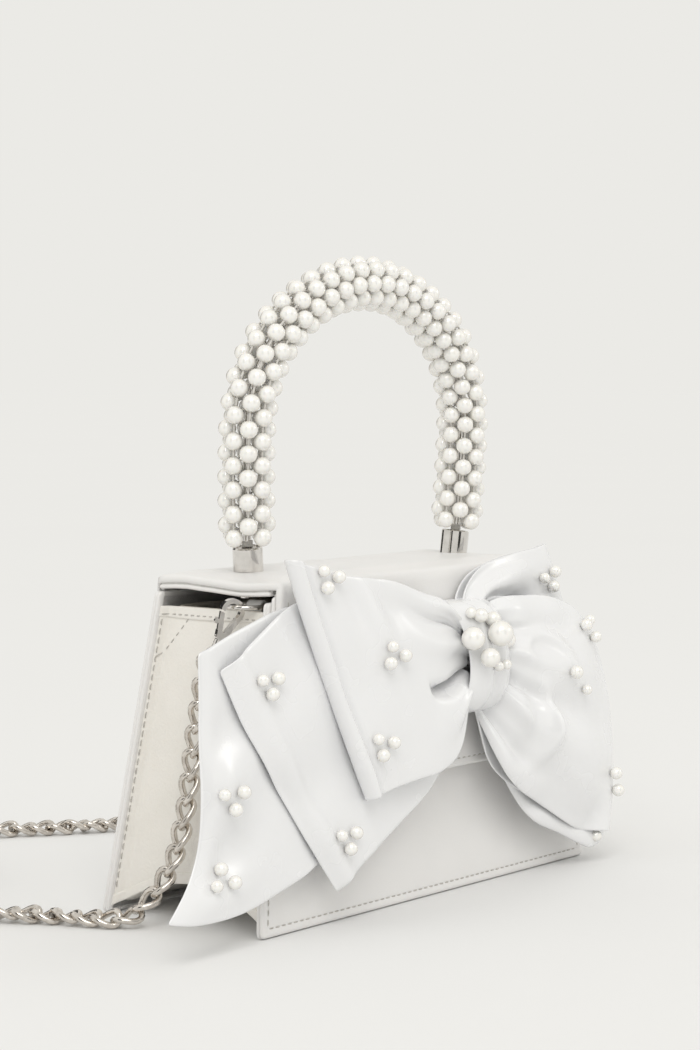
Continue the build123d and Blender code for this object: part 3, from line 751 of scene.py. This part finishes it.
cover_rows = [cover_row(index, *row) for index, row in enumerate(skin_rows())]
wide_count = len(cover_rows[0])
faces = []
for r in range(len(cover_rows) - 1):
    for a in range(r * wide_count, (r + 1) * wide_count - 1):
        faces.append((a, a + wide_count, a + wide_count + 1, a + 1))
cover = piece("cover_leather", [p for row in cover_rows for p in row], faces, None, "white_leather")
baked(cover, ("SUBSURF", {"levels": 1, "render_levels": 1}))
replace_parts(cover, "lid_leather", "flap_leather")
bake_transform(cover)
LAYER = [
    (20, 0), (2, 0), (0.6, -0.1), (0.14, -0.45), (0, -0.85), (0.14, -1.25), (0.6, -1.6), (2, -1.7), (20, -1.7),
]
CORE = [(20, 0), (1.4, 0), (1.0, -0.1), (0.95, -0.4), (0.95, -0.9), (1.0, -1.2), (1.4, -1.3), (20, -1.3)]
lid_corners = [(-79, -23.7), (79, -23.7), (79, 28.9), (-79, 28.9)]


def flap_corners(low, high):
    wide = [half_width(BAG_HIGH + v * FRONT_COS) for v in (low, high)]
    return [(-wide[0], low), (wide[0], low), (wide[1], high), (-wide[1], high)]


def wavy(at, amount):
    """The layered edge of the lid isn't quite straight."""

    def place(x, v, w):
        return at(x, v, w + amount * smooth((abs(x) - 60) / 18) * edge_wave(v))
    return place


strips = [(i, w - 2.4) for i, w in CORE]
linings = [(i + 0.1, w - 3.3) for i, w in LAYER]
flap_outline = flap_corners(-74.3, -2.6)
for name, at, corners, radius, profile, body, slot, node in (
    ("lid_core", wavy(on_lid, 0.95), lid_corners, 1.6, strips, LID, "edge_paint", "lid_edge_strips"),
    ("lid_lining_leather", wavy(on_lid, 0.9), lid_corners, 2.2, linings, LID, "white_leather", "lid_lining"),
    ("flap_core", on_flap, flap_outline, 1.6, strips, FLAP, "edge_paint", "flap_edge_strips"),
    (
        "flap_lining_leather", on_flap, flap_corners(-74.3, -4.4), 2.2, linings, FLAP, "white_leather",
        "flap_lining",
    ),
):
    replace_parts(plate(name, at, corners, radius, profile, body, slot), node)

seam_low = 3.05 - FLAP_LONG
seam_wide = half_width(BAG_HIGH + seam_low * FRONT_COS) - 3.05
flap_seam = [(-76.2, -6), (-seam_wide, seam_low), (seam_wide, seam_low), (76.2, -6)]
merged("flap_stitches", stitch_row(on_flap, flap_seam), FLAP, "white_leather", thread)

CREASE_LINE = [
    Vector(p)
    for p in (
        (-18, 115.05), (-21, 115), (-23.2, 115), (-24, 114.4), (-24.3, 113.2), (-24.6, 111.4), (-25, 108),
    )
]
HINGE_LINE = [on_back(0, s, 0.1) / MM for s in (98, 103, 107, 110, 112.5, 114.5, 116.2, 117.6)]
HINGE_LINE += [Vector((0, y, z)) for y, z in ((29.1, 118.3), (29.0, 118.8), (28.8, 119.2))]


def crease_at(u, v):
    y, z = along_path(CREASE_LINE, v)
    return metres((2 * u - 1) * 76, y, z)


crease, _ = grid("crease_lining", crease_at, 20, 24, None, "white_leather", 0.5)
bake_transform(crease)


def hinge_at(u, v):
    """The back panel's leather goes on up over the lid's back edge."""
    p = along_path(HINGE_LINE, v)
    return metres((2 * u - 1) * (min(half_width(p.z), 79.2) - 1.2), p.y, p.z)


hinge, _ = grid("hinge_leather", hinge_at, 24, 30, None, "white_leather")
hinge.data.flip_normals()
thicken(hinge, 0.7, 1.0)
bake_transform(hinge)

# ---- handle: the thread between the pearls ------------------------------------------------------
TILT, LEAN = math.radians(2.3), math.radians(6.7)
LEG_X, RISE, CROWN, SHOULDER = 62.4, 50.3, 104.0, 47.0
LEG_R = RISE / math.sin(LEAN)
HALF = LEG_X + LEG_R * (1 - math.cos(LEAN))
ARCH = CROWN - RISE
DROP = ((HALF - SHOULDER) ** 2 - (ARCH - SHOULDER) ** 2) / (2 * (ARCH - SHOULDER))
CROWN_R = ARCH + DROP
TURN = math.atan2(DROP, HALF - SHOULDER)
LEG, BEND, TOP = LEG_R * LEAN, SHOULDER * TURN, CROWN_R * (math.pi - 2 * TURN)
SPINE = 2 * LEG + 2 * BEND + TOP
RING, COLUMNS, PEARL_PITCH, PEARL_R = 7.15, 8, 8.4, 3.25
FERRULE_HIGH, HANDLE_FOOT = 9.0, 121.7


def spine(s):
    """The handle's centre line: (across, up) and direction at a distance from the right foot."""
    if s > SPINE / 2:
        x, up, dx, dz = spine(SPINE - s)
        return -x, up, dx, -dz
    if s < LEG:
        a = LEAN * (1 - s / LEG)
        return HALF - LEG_R * (1 - math.cos(a)), RISE - LEG_R * math.sin(a), math.sin(a), math.cos(a)
    if s < LEG + BEND:
        a = (s - LEG) / SHOULDER
        x = HALF - SHOULDER + SHOULDER * math.cos(a)
        return x, RISE + SHOULDER * math.sin(a), -math.sin(a), math.cos(a)
    a = TURN + (s - LEG - BEND) / CROWN_R
    return CROWN_R * math.cos(a), RISE - DROP + CROWN_R * math.sin(a), -math.sin(a), math.cos(a)


def round_spine(s, angle, scale=1.0):
    """A point beside the centre line, at the pearls' own distance from it times scale."""
    x, up, dx, dz = spine(s)
    away = RING * scale * math.cos(angle)
    y, z = RING * scale * math.sin(angle), up - dx * away
    tilted = y * math.cos(TILT) - z * math.sin(TILT)
    return metres(x + dz * away, tilted, HANDLE_FOOT + z * math.cos(TILT) + y * math.sin(TILT))


def tie_line(here, there, angle, other):
    """A thread from one pearl to the next column's, sagging in towards the core."""
    line = []
    for t in (0, 0.25, 0.5, 0.75, 1):
        closeness = 0.93 - 0.12 * math.sin(math.pi * t)
        line.append(round_spine(here + (there - here) * t, angle + (other - angle) * t, closeness))
    return line


START = FERRULE_HIGH + PEARL_R + 0.6
PITCH_ROWS = round((SPINE - 2 * START) / PEARL_PITCH)
PITCH = (SPINE - 2 * START) / PITCH_ROWS
necks, ties = [], []
for column in range(COLUMNS):
    angle = 2 * math.pi * column / COLUMNS
    count = PITCH_ROWS + 1 - column % 2
    for row in range(count):
        here = START + (row + 0.5 * (column % 2)) * PITCH
        if row < count - 1:
            line = [round_spine(here + PITCH * t, angle) for t in (0.33, 0.4, 0.5, 0.6, 0.67)]
            necks.append(tube(line, 0.42 * MM, 7, ends=0.9))
        for step in (-1, 1):
            for way in (-0.5, 0.5):
                there = here + way * PITCH
                if START - 0.1 <= there <= SPINE - START + 0.1:
                    line = tie_line(here, there, angle, angle + step * math.pi / 4)
                    ties.append(tube(line, 0.3 * MM, 5))
merged("handle_necks", necks, LID, "pearl", clear_thread)
merged("handle_ties", ties, LID, "pearl", clear_thread)

wraps = []
for side in (-1, 1):
    foot = 8.9 if side > 0 else SPINE - 8.9
    line = []
    for k in range(40):
        turn = 2 * math.pi * k / 8
        line.append(round_spine(foot + side * (0.15 + 0.052 * k), turn, 1.75 / RING))
    wraps.append(tube(line, 0.28 * MM, 6))
merged("handle_end_wraps", wraps, LID, "pearl", clear_thread)

# ---- satin bow ----------------------------------------------------------------------------------


def coons(top, foot, inner, outer):
    """A patch between four lines of (x, v) points: top and foot run from the knot outward, inner
    and outer run down."""
    top, foot, inner, outer = (curve_through([(*p, 0) for p in line], 60) for line in (top, foot, inner, outer))

    def at(s, t):
        a = along_path(top, clamp(s)) * (1 - t) + along_path(foot, clamp(s)) * t
        b = along_path(inner, clamp(t)) * (1 - s) + along_path(outer, clamp(t)) * s
        c = (top[0] * (1 - t) + foot[0] * t) * (1 - s) + (top[-1] * (1 - t) + foot[-1] * t) * s
        p = a + b - c
        return p.x, p.y

    return at


def fold_lines(s, t, folds):
    """Folds that fan out from the knot: (where at the knot, where outside, depth, width, how far)."""
    height = 0
    for near, far, depth, width, reach in folds:
        spread = width * (0.35 + 1.2 * s)
        height += depth * bell(t, near + (far - near) * s, spread) * (1 - smooth(s / reach))
    return height


def ripple(x, v, size, amount, seed=0.0):
    return amount * noise.noise(Vector((x / size, v / size, seed)))


def satin_piece(name, at, across, along, node, thick=0.8):
    made, area = grid(name, at, across, along, FLAP, "satin", thick, 1)
    reach = max((Vector(c) - Vector(d)).length for c in made.bound_box[:4] for d in made.bound_box[4:])
    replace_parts(made, node)
    wide = max(area / reach, 0.011) * 1.15
    min(area, wide * reach)


PLY_SHARE = 0.56


def ply(v):
    """Whether v is on a loop's front ply, and how far from the knot, from 0 to 1."""
    front = v < PLY_SHARE
    return front, clamp(v / PLY_SHARE if front else 1 - (v - PLY_SHARE) / (1 - PLY_SHARE))


def rolled(w, near_fold, middle, reach):
    """The height w of a ply, brought round its far fold."""
    return w * (1 - near_fold) + (middle + reach * math.sqrt(max(1 - near_fold**2, 0))) * near_fold


loop_left = coons(
    [(4, -20), (-3, -12.5), (-16, -8.6), (-34, -2.8), (-60, 0.9), (-86.5, 8)],
    [(7, -48), (-1.6, -66), (-13, -72.7), (-28, -74.4), (-42, -76), (-53.7, -78.3)],
    [(4, -20), (7, -34), (7, -48)],
    [(-86.5, 8), (-82, -6.2), (-70.3, -38.2), (-53.7, -78.3)],
)
LEFT_FOLDS = [
    (0.08, -0.02, 2.4, 0.09, 0.5), (0.22, 0.04, -3.2, 0.06, 0.6), (0.4, 0.2, 2.8, 0.11, 0.75),
    (0.82, 0.8, 2.6, 0.1, 0.6),
]


def left_loop_at(u, v):
    """One ribbon: u across it, v out along the front ply, round the fold and back behind."""
    front_ply, s = ply(v)
    x, y = loop_left(s, u)
    near_fold = smooth((s - 0.972) / 0.028)
    if front_ply:
        swell = math.sin(math.pi * min(s * 1.05, 1)) ** 0.8
        top = 11.3 + 2.0 * swell * math.sin(math.pi * u) ** 0.6 + fold_lines(s, u, LEFT_FOLDS)
        top += ripple(x, y, 26, 1.0) + 1.6 * (1 - s)
        top -= 1.5 * bell(x + 0.5 * (y + 12), -38, 6.0) * bell(y, -13, 12)
        top -= 1.2 * bell(x + 0.4 * (y + 8), -56, 5.0) * bell(y, -10, 13)
        top += bell(x + 0.45 * (y + 10), -47, 5.0) * bell(y, -14, 14)
        top += 1.5 * bell(s, 0.968, 0.02) - 1.7 * bell(s, 0.925, 0.016)
        # the open pleat beside the knot, its upper lip hanging over it
        slit = math.sin(math.pi * min((s + 0.03) / 0.45, 1)) ** 0.7 if s < 0.42 else 0
        below = u - (0.63 - 0.12 * s)
        top -= slit * (9.0 * bell(below, 0, 0.042) - 1.6 * bell(below, 0.13, 0.08))
        y -= slit * bell(below, -0.06, 0.035)
        w = rolled(top, near_fold, 9.6, 2.8)
        x -= 0.5 * near_fold
    else:
        w = rolled(7.6 + 0.4 * ripple(x, y, 20, 1.0, 4.0), near_fold, 9.0, -1.2)
        x += 1.2 * (1 - near_fold) - 0.3 * near_fold
        y -= 1.6 * (u - 0.35) * (1 - near_fold)
    return on_flap(x, y, w)


satin_piece("bow_loop_left_satin", left_loop_at, 72, 150, "bow_loop_left")
short_tail = coons(
    [(-2, -22), (-30, -12), (-60, -7), (-81.7, -8), (-119.8, -26.9)],
    [(0, -50), (-4.6, -73.3), (-32, -89.7), (-57, -101.6), (-68.8, -108.5)],
    [(-2, -22), (0, -36), (0, -50)],
    [(-119.8, -26.9), (-107.8, -51.1), (-89.7, -79), (-68.8, -108.5)],
)


def short_tail_at(u, v):
    x, y = short_tail(v, u)
    w = 5.0 + fold_lines(v, u, [(0.3, 0.2, 1.0, 0.15, 1.4), (0.7, 0.8, 0.8, 0.12, 1.3)])
    w += ripple(x, y, 24, 1.2, 2.0) + 1.0 * math.sin(math.pi * v) * math.sin(math.pi * u)
    w += 1.3 * bell(v, 0.93, 0.03) - 1.9 * smooth((v - 0.955) / 0.045)
    w += 1.3 * bell(u, 0.36, 0.12) * smooth((v - 0.5) / 0.4)
    w -= 1.2 * bell(u, 0.62, 0.1) * smooth((v - 0.45) / 0.4)
    return on_flap(x, y, max(w, 3.4))


satin_piece("bow_short_tail_satin", short_tail_at, 30, 60, "bow_tail_short")
long_tail = coons(
    [(-6, -22), (-40, -9), (-78, -8), (-104, -13.5), (-127, -20.3)],
    [(-8, -52), (-40, -80), (-75, -97), (-89, -102), (-116, -107.6), (-139.4, -108.1), (-153.6, -105.7)],
    [(-6, -22), (-7, -36), (-8, -52)],
    [
        (-127, -20.3), (-128.4, -35.5), (-130.8, -55), (-132.5, -68), (-135.2, -83.3),
        (-140.5, -93.2), (-147.5, -100.2), (-153.6, -105.7),
    ],
)


def long_tail_at(u, v):
    x, y = long_tail(v, u)
    lift = smooth((v - 0.72) / 0.2) * (1 - 0.85 * smooth((v - 0.9) / 0.1))
    w = 1.9 + ripple(x, y, 28, 0.9, 6.0)
    w += lift * (3.6 * bell(u, 0.5, 0.12) - 2.6 * bell(u, 0.72, 0.1))
    w += lift * (2.0 * bell(u, 0.9, 0.08) - 1.6 * bell(u, 0.3, 0.1))
    w -= 1.2 * smooth((v - 0.965) / 0.035)
    return on_flap(x, y, min(max(w, 0.9), 3.2) if v < 0.6 else w)


satin_piece("bow_long_tail_satin", long_tail_at, 34, 60, "bow_tail_long")
back_loop = coons(
    [(16, -20), (20, -9), (30.8, -1.7), (50.7, 2.5), (68, 4), (78.8, 5.7)],
    [(18, -46), (40, -45), (60, -44), (75, -40), (90.9, -30)],
    [(16, -20), (17, -33), (18, -46)],
    [(78.8, 5.7), (82.5, -3), (87.2, -16.5), (90.9, -30)],
)


BACK_FOLDS = [
    (0.2, 0.16, 3.6, 0.1, 1.2), (0.42, 0.4, -3.6, 0.09, 1.2), (0.66, 0.66, 3.4, 0.11, 1.1),
    (0.06, 0.0, -1.8, 0.07, 0.8),
]


def back_loop_at(u, v):
    front_ply, s = ply(v)
    x, y = back_loop(s, u)
    near_fold = smooth((s - 0.9) / 0.1)
    if front_ply:
        w = rolled(6.6 + fold_lines(s, u, BACK_FOLDS) + ripple(x, y, 16, 1.2, 9.0), near_fold, 4.2, 2.2)
    else:
        w = rolled(1.6 + ripple(x, y, 18, 0.4, 3.0), near_fold, 4.0, -2.0)
        y -= 1.2 * (1 - near_fold) * (0.5 - u)
    return on_flap(x, y, w)


satin_piece("bow_loop_back_satin", back_loop_at, 30, 80, "bow_loop_back")
front_loop = coons(
    [(18, -20), (31, -13.3), (46.4, -13.2), (60, -14.2), (71.9, -16.8), (83, -21), (93.5, -32)],
    [(15, -48), (22, -73.4), (34.5, -85.8), (54.6, -95.6), (75.3, -106.1), (94.8, -110)],
    [(18, -20), (17, -34), (15, -48)],
    [(93.5, -32), (99.5, -45), (102.8, -63), (101.2, -88), (94.8, -110)],
)
RIGHT_FOLDS = [
    (0.1, -0.02, 2.6, 0.08, 0.8), (0.25, 0.1, -4.2, 0.055, 0.85), (0.38, 0.36, 4.4, 0.085, 1.15),
    (0.53, 0.56, -5.2, 0.06, 1.05), (0.68, 0.74, 4.8, 0.09, 1.1), (0.84, 0.9, -4.0, 0.055, 0.85),
    (0.95, 1.0, 2.4, 0.05, 0.7),
]


# Ridges that curve across the puff: (middle x, middle v, radius, direction, height, width).
PUFF_RIDGES = [(33, -62, 17, 5, 3.4, 3.2), (47, -49, 21, 82, 2.6, 2.8), (30, -63, 9, 5, -2.6, 5)]


def front_loop_at(u, v):
    front_ply, s = ply(v)
    x, y = front_loop(s, u)
    near_fold = smooth((s - 0.86) / 0.14)
    if front_ply:
        swell = math.sin(math.pi * min(0.15 + s * 0.85, 1)) ** 0.7
        crown = math.sin(math.pi * clamp(u * 0.96 + 0.02)) ** 0.6
        gather = smooth(s / 0.3)
        top = 7.6 + 4.6 * gather - 6.0 * smooth((u - 0.8) / 0.2) * s
        top += 8.2 * swell * crown * (0.2 + 0.8 * gather)
        for mid_x, mid_y, radius, facing, high, thick in PUFF_RIDGES:
            turned = math.atan2(y - mid_y, x - mid_x) - math.radians(facing)
            top += high * bell(math.hypot(x - mid_x, y - mid_y), radius, thick) * bell(turned, 0, 1) * gather
        top += fold_lines(s, u, RIGHT_FOLDS) * (0.35 + 0.65 * crown) + ripple(x, y, 22, 2.0, 12.0)
        w = rolled(top, near_fold, 11.5, 3.6)
    else:
        w = rolled(7.4 + ripple(x, y, 22, 0.8, 5.0), near_fold, 11.0, -3.2)
        y += 5.0 * (1 - near_fold) * smooth((u - 0.5) / 0.5) * s
    return on_flap(x, y, w)


satin_piece("bow_loop_front_satin", front_loop_at, 64, 120, "bow_loop_front")
under_ply = coons(
    [(18, -34), (40, -30), (64, -34), (88, -46)],
    [
        (17, -50), (22.4, -58), (28, -71.6), (38, -87.2), (49, -99.3), (67.7, -107.3),
        (86.5, -115.5), (96, -113.2),
    ],
    [(18, -34), (18, -42), (17, -50)],
    [(88, -46), (94.5, -60), (97.5, -85), (96, -113.2)],
)


def under_ply_at(u, v):
    x, y = under_ply(v, u)
    w = 7.2 + ripple(x, y, 20, 1.0, 7.0) + 0.8 * math.sin(4 * u + 3 * v)
    w += 0.9 * bell(u, 0.94, 0.03) - 0.8 * smooth((u - 0.97) / 0.03)
    return on_flap(x, y, min(max(w, 3.4), 8.2))


satin_piece("bow_under_ply_satin", under_ply_at, 26, 60, "bow_under_ply")


def knot_at(u, v):
    """A gathered band round the bow's middle: v goes round it from its foot over the front."""
    around = math.pi * (1.12 * v - 0.06)
    pull = math.sin(math.pi * v)
    x = 14.6 + (u - 0.5) * (25 + 3 * math.cos(around) ** 2) + 0.8 * math.sin(5 * v)
    y = -33.5 + 21.4 * -math.cos(around)
    pleat = 0.9 * math.cos(2 * math.pi * (2.6 * u + 0.3 * math.sin(3 * v))) * (0.4 + 0.6 * pull)
    side = 1.0 - (2 * abs(u - 0.5)) ** 3
    w = 1.0 + 21.0 * math.sin(min(max(around, 0), math.pi)) ** 0.62 * (0.8 + 0.2 * side) + pleat * side
    return on_flap(x, y, max(w, 0.6))


satin_piece("bow_knot_satin", knot_at, 26, 44, "bow_knot", thick=0.7)

# ---- pearls sewn on the bow -----------------------------------------------------------------------
OUT = (on_flap(0, 0, 1) - on_flap(0, 0, 0)).normalized()


def lands(cloth_names, x, v):
    """The outermost point of the cloth in front of a place on the flap, and its direction there."""
    best, hit, normal = 1.0, on_flap(x, v, 6), OUT
    for cloth_name in cloth_names:
        if cloth_name not in trees:
            cloth = bpy.data.objects[cloth_name]
            trees[cloth_name] = BVHTree.FromObject(cloth, bpy.context.evaluated_depsgraph_get())
        found, way, _, distance = trees[cloth_name].ray_cast(on_flap(x, v, 40), -OUT)
        if found is not None and distance < best:
            best, hit, normal = distance, found, way
    return hit, normal if normal.dot(OUT) >= 0 else -normal


trees = {}


def pearl_group(name, cloth_names, places, node):
    shapes = []
    for x, v, radius in places:
        hit, normal = lands(cloth_names.split(), x, v)
        lean = (normal * 0.5 + OUT * 0.5).normalized()
        shapes.append(bead_points(hit + lean * (radius * MM * 0.97), radius * MM, 20))
    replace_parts(merged(name, shapes, FLAP, "pearl"), node)


def trefoil(x, v, turn=0.0):
    """Three pearls sewn in a triangle round a place, one of them smaller."""
    return [
        (x + 4.8 * math.cos(math.radians(angle + turn)), v + 3.4 * math.sin(math.radians(angle + turn)), radius)
        for angle, radius in ((30, 2.4), (150, 2.1), (270, 2.4))
    ]


pearl_group(
    "pearls_left_loop", "bow_loop_left_satin",
    trefoil(-70, 0, -25) + trefoil(-40, -29, -40) + trefoil(-49, -60, -20), "pearls_loop_left",
)
pearl_group(
    "pearls_short_tail", "bow_short_tail_satin", trefoil(-99.5, -33.5) + trefoil(-65, -90.5),
    "pearls_tail_short",
)
pearl_group(
    "pearls_long_tail", "bow_long_tail_satin", trefoil(-121.5, -69) + trefoil(-128, -95, 60),
    "pearls_tail_long",
)
pearl_group("pearls_back_loop", "bow_loop_back_satin", trefoil(74, -8.5, 20), "pearls_loop_back")
pearl_group(
    "pearls_front_loop", "bow_loop_front_satin",
    [
        (81.6, -28, 2.4), (86.5, -26.5, 2.2), (87, -33, 2.3), (62.5, -44.5, 2.6), (72, -52, 2.0),
        (94.5, -87, 2.5), (97, -94, 2.5), (89.5, -111, 2.3),
    ],
    "pearls_loop_front",
)
pearl_group(
    "pearls_knot", "bow_knot_satin bow_loop_left_satin bow_loop_front_satin",
    [
        (2.6, -26.8, 4.4), (11.4, -26.5, 4.8), (27.5, -30.3, 3.2), (7.3, -34.2, 3.7), (12.6, -37.9, 1.9),
        (17.4, -37.6, 1.9), (7.8, -19.4, 2.7), (14.6, -21.2, 2.9), (5.6, -18, 2.1),
    ],
    "knot_pearls",
)

# ---- chain strap -----------------------------------------------------------------------------------
# The route's points as part.py has them; the coil's turns lie between its two strands.
LEFT_ROUTE = [
    (-90.4, -3.9, 90.4), (-90.9, -1.6, 78), (-92, -0.2, 63), (-94.4, 0.6, 47), (-97.8, 0.6, 32.5),
    (-102, 2.8, 19), (-107.2, 8, 8.8), (-113.6, 15, 4.5), (-118.5, 24, 4.1), (-122, 35, 4.1),
    (-128.5, 48, 4.1), (-138.5, 62, 4.1), (-150, 79, 4.1), (-160, 97, 4.1), (-164, 114, 4.1),
    (-164, 127, 4.1),
]
RIGHT_ROUTE = [
    (-92, 199, 12.1), (-82, 199, 12.1), (-66, 197.5, 6.2), (-49, 192.5, 4.1), (-30.5, 184.5, 4.1),
    (-15, 174.5, 4.1), (-2, 164, 4.1), (10, 155.5, 4.1), (23, 148.5, 4.1), (40, 138.5, 4.1),
    (58, 124.5, 4.1), (75, 107, 4.1), (90, 86, 4.1), (101, 63, 4.1), (108.5, 41, 4.1),
    (112, 23.5, 4.4), (108.6, 11.5, 8.8), (102.6, 4.2, 19), (97.8, 0.8, 32.5), (94.4, 0.6, 47),
    (92, -0.2, 63), (90.9, -1.6, 78), (90.4, -3.9, 90.4),
]
PER_TURN, TURNS, COIL = 14, 2.25, 44.0
coil = []
for k in range(1, round(PER_TURN * TURNS)):
    a = math.pi - 2 * math.pi * k / PER_TURN
    r = COIL / math.cos(math.pi / PER_TURN)
    lap = k / PER_TURN
    coil.append((-120 + r * math.cos(a), 155 + r * math.sin(a), 4.1 + 8.0 * smooth((lap - 0.86) / 0.3)))
route = LEFT_ROUTE + [(-164, 146, 4.1)] + coil + [(-104, 199, 12.1)] + RIGHT_ROUTE
line = bpy.data.curves.new("chain_line", "CURVE")
line.dimensions = "3D"
line.resolution_u = 16
spline = line.splines.new("NURBS")
spline.points.add(len(route) - 1)
for point, place in zip(spline.points, route):
    point.co = (*metres(*place), 1)
spline.order_u = 3
spline.use_endpoint_u = True
line_object = bpy.data.objects.new("chain_line", line)
scene.collection.objects.link(line_object)
read = bpy.data.meshes.new_from_object(line_object.evaluated_get(bpy.context.evaluated_depsgraph_get()))
path = [v.co.copy() for v in read.vertices]
bpy.data.objects.remove(line_object)
bpy.data.meshes.remove(read)
reach = distances(path)
chain_length = reach[-1]
print("chain length", round(chain_length, 4))

LINK_LONG, LINK_WIDE, LINK_WIRE = 12.6, 8.9, 1.16


def link_shape():
    """One curb link: an oval whose two ends are turned against each other."""
    ring = []
    a, b = LINK_LONG / 2 - LINK_WIRE, LINK_WIDE / 2 - LINK_WIRE
    for k in range(22):
        t = 2 * math.pi * k / 22
        c, s = math.cos(t), math.sin(t)
        x = a * math.copysign(abs(c) ** 0.86, c)
        y = b * math.copysign(abs(s) ** 0.8, s)
        turn = math.radians(50) * x / a
        ring.append(Vector((x, y * math.cos(turn), y * math.sin(turn))) * MM)
    return tube(ring, LINK_WIRE * MM, 9, closed=True)


link_points, link_faces = link_shape()


def chain_frame(at_length):
    """A point on the chain's line and the line's direction there."""
    i, t = stretch_at(reach, at_length)
    a, b = path[max(i - 5, 0)], path[min(i + 6, len(path) - 1)]
    return path[i].lerp(path[i + 1], t), (b - a).normalized()


links = []
up = Vector((-1, -0.35, 0)).normalized()
travelled = 1.2 * MM
while travelled < chain_length - 1.0 * MM:
    place, run = chain_frame(travelled)
    on_floor = place.z < 0.0135
    if on_floor:
        up = up.lerp(Vector((0, 0, 1)), 0.5).normalized()
    elif travelled > chain_length / 2:
        up = up.lerp(Vector((0.9, -0.3, 0.1)), 0.18).normalized()
    up = (up - run * up.dot(run)).normalized()
    tip = 0 if on_floor else 32
    wild = random.uniform(-1, 1)
    lean = Matrix.Rotation(math.radians((17 if on_floor else 9) * wild + tip), 3, run)
    sway = random.uniform(-7, 7) if on_floor else random.uniform(-2, 2)
    yaw = Matrix.Rotation(math.radians(sway), 3, up)
    x_axis = yaw @ run
    z_axis = lean @ up
    y_axis = z_axis.cross(x_axis).normalized()
    z_axis = x_axis.cross(y_axis).normalized()
    turn = Matrix((x_axis, y_axis, z_axis)).transposed()
    nudge = y_axis * (random.uniform(-0.45, 0.45) * MM if on_floor else 0)
    shifted = [place + nudge + turn @ p for p in link_points]
    lowest = min(p.z for p in shifted)
    if on_floor and place.z < 0.006:
        shifted = [p - Vector((0, 0, lowest - 0.0002)) for p in shifted]
    links.append((shifted, link_faces))
    travelled += (random.uniform(7.3, 7.9) if on_floor else 8.45) * MM
chain = merged("chain_strap", links, BAG, "chain")
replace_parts(chain, "chain_strand_left", "chain_coil", "chain_strand_right")
tuple(path[0])
[tuple(p) for p in path]

# ---- floor, light and camera ------------------------------------------------------------------------
AZIMUTH, PITCH = math.radians(-51.96), math.radians(3.316)
back_way = Vector((math.sin(AZIMUTH) * math.cos(PITCH), -math.cos(AZIMUTH) * math.cos(PITCH), math.sin(PITCH)))
right_way = Vector((math.cos(AZIMUTH), math.sin(AZIMUTH), 0))
up_way = back_way.cross(right_way)
camera = bpy.data.objects.new("camera", bpy.data.cameras.new("camera"))
FOCAL, PHOTO_HIGH, SENSOR = 2561, 1050, 36
camera.data.lens = SENSOR * FOCAL / PHOTO_HIGH
camera.data.sensor_width = SENSOR
camera.data.sensor_fit = "AUTO"
camera.data.clip_end = 30
turned = Matrix((right_way, up_way, back_way)).transposed().to_4x4()
camera.matrix_world = Matrix.Translation((-0.7569, -0.5893, 0.1910)) @ turned
scene.collection.objects.link(camera)
scene.camera = camera

paper = plain(
    "paper", ((3, 2), (0.814, 0.814, 0.812), (0.818, 0.818, 0.816)), ((40, 2), 0.9, 0.98),
    ((900, 2), 0.05, 0.02), Specular_IOR_Level=0.0,
)
FLOOR_HALF = 40
floor_corners = [(a * FLOOR_HALF, b * FLOOR_HALF, 0) for a, b in ((-1, -1), (1, -1), (1, 1), (-1, 1))]
floor = piece("floor", floor_corners, [(0, 1, 2, 3)], None, None, paper, smoothed=False)

scene.view_settings.view_transform = "Standard"
world = bpy.data.worlds.new("studio")
scene.world = world
world.use_nodes = True
background = world.node_tree.nodes["Background"]
background.inputs["Color"].default_value = (0.831, 0.823, 0.791, 1)
background.inputs["Strength"].default_value = 1.0


def aimed(name, light, place, aim, colour=(1, 0.985, 0.96)):
    light.color = colour
    lamp = bpy.data.objects.new(name, light)
    lamp.location = place
    lamp.rotation_euler = (Vector(aim) - Vector(place)).to_track_quat("-Z", "Y").to_euler()
    scene.collection.objects.link(lamp)


def softbox(name, place, aim, size, power):
    light = bpy.data.lights.new(name, "AREA")
    light.shape = "RECTANGLE"
    light.size, light.size_y = size
    light.energy = power
    aimed(name, light, place, aim)


sun = bpy.data.lights.new("key", "SUN")
sun.energy = 0.76
sun.angle = math.radians(32)
aimed("key", sun, (-0.9, -0.9, 1.6), (0, 0, 0))
softbox("window", (-1.0, -0.45, 0.85), (0, 0, 0.1), (0.13, 0.13), 0.65)
softbox("side_window", (0.75, -0.85, 0.6), (0, 0, 0.1), (0.16, 0.16), 0.5)


def flag(name, place, aim, size):
    """A black card that only reflections meet."""
    way = (Vector(aim) - Vector(place)).normalized()
    side = way.cross(Vector((0, 0, 1))).normalized() * (size[0] / 2)
    rise = side.cross(way).normalized() * (size[1] / 2)
    corners = [Vector(place) + a * side + b * rise for a, b in ((-1, -1), (1, -1), (1, 1), (-1, 1))]
    card = piece(name, corners, [(0, 1, 2, 3)], None, None, black, smoothed=False)
    card.visible_camera = False
    card.visible_diffuse = False
    card.visible_shadow = False


black = plain("black_card", ((20, 2), (0.015, 0.015, 0.015), (0.03, 0.03, 0.03)), ((20, 2), 0.85, 0.95))
flag("card_camera_left", (-1.25, -0.1, 0.35), (0, 0, 0.15), (0.5, 1.1))
flag("card_camera_right", (-0.25, -1.3, 0.35), (0, 0, 0.15), (0.5, 1.1))
flag("card_behind", (0.1, 1.25, 0.5), (0, 0, 0.15), (0.7, 0.9))

bpy.context.view_layer.update()
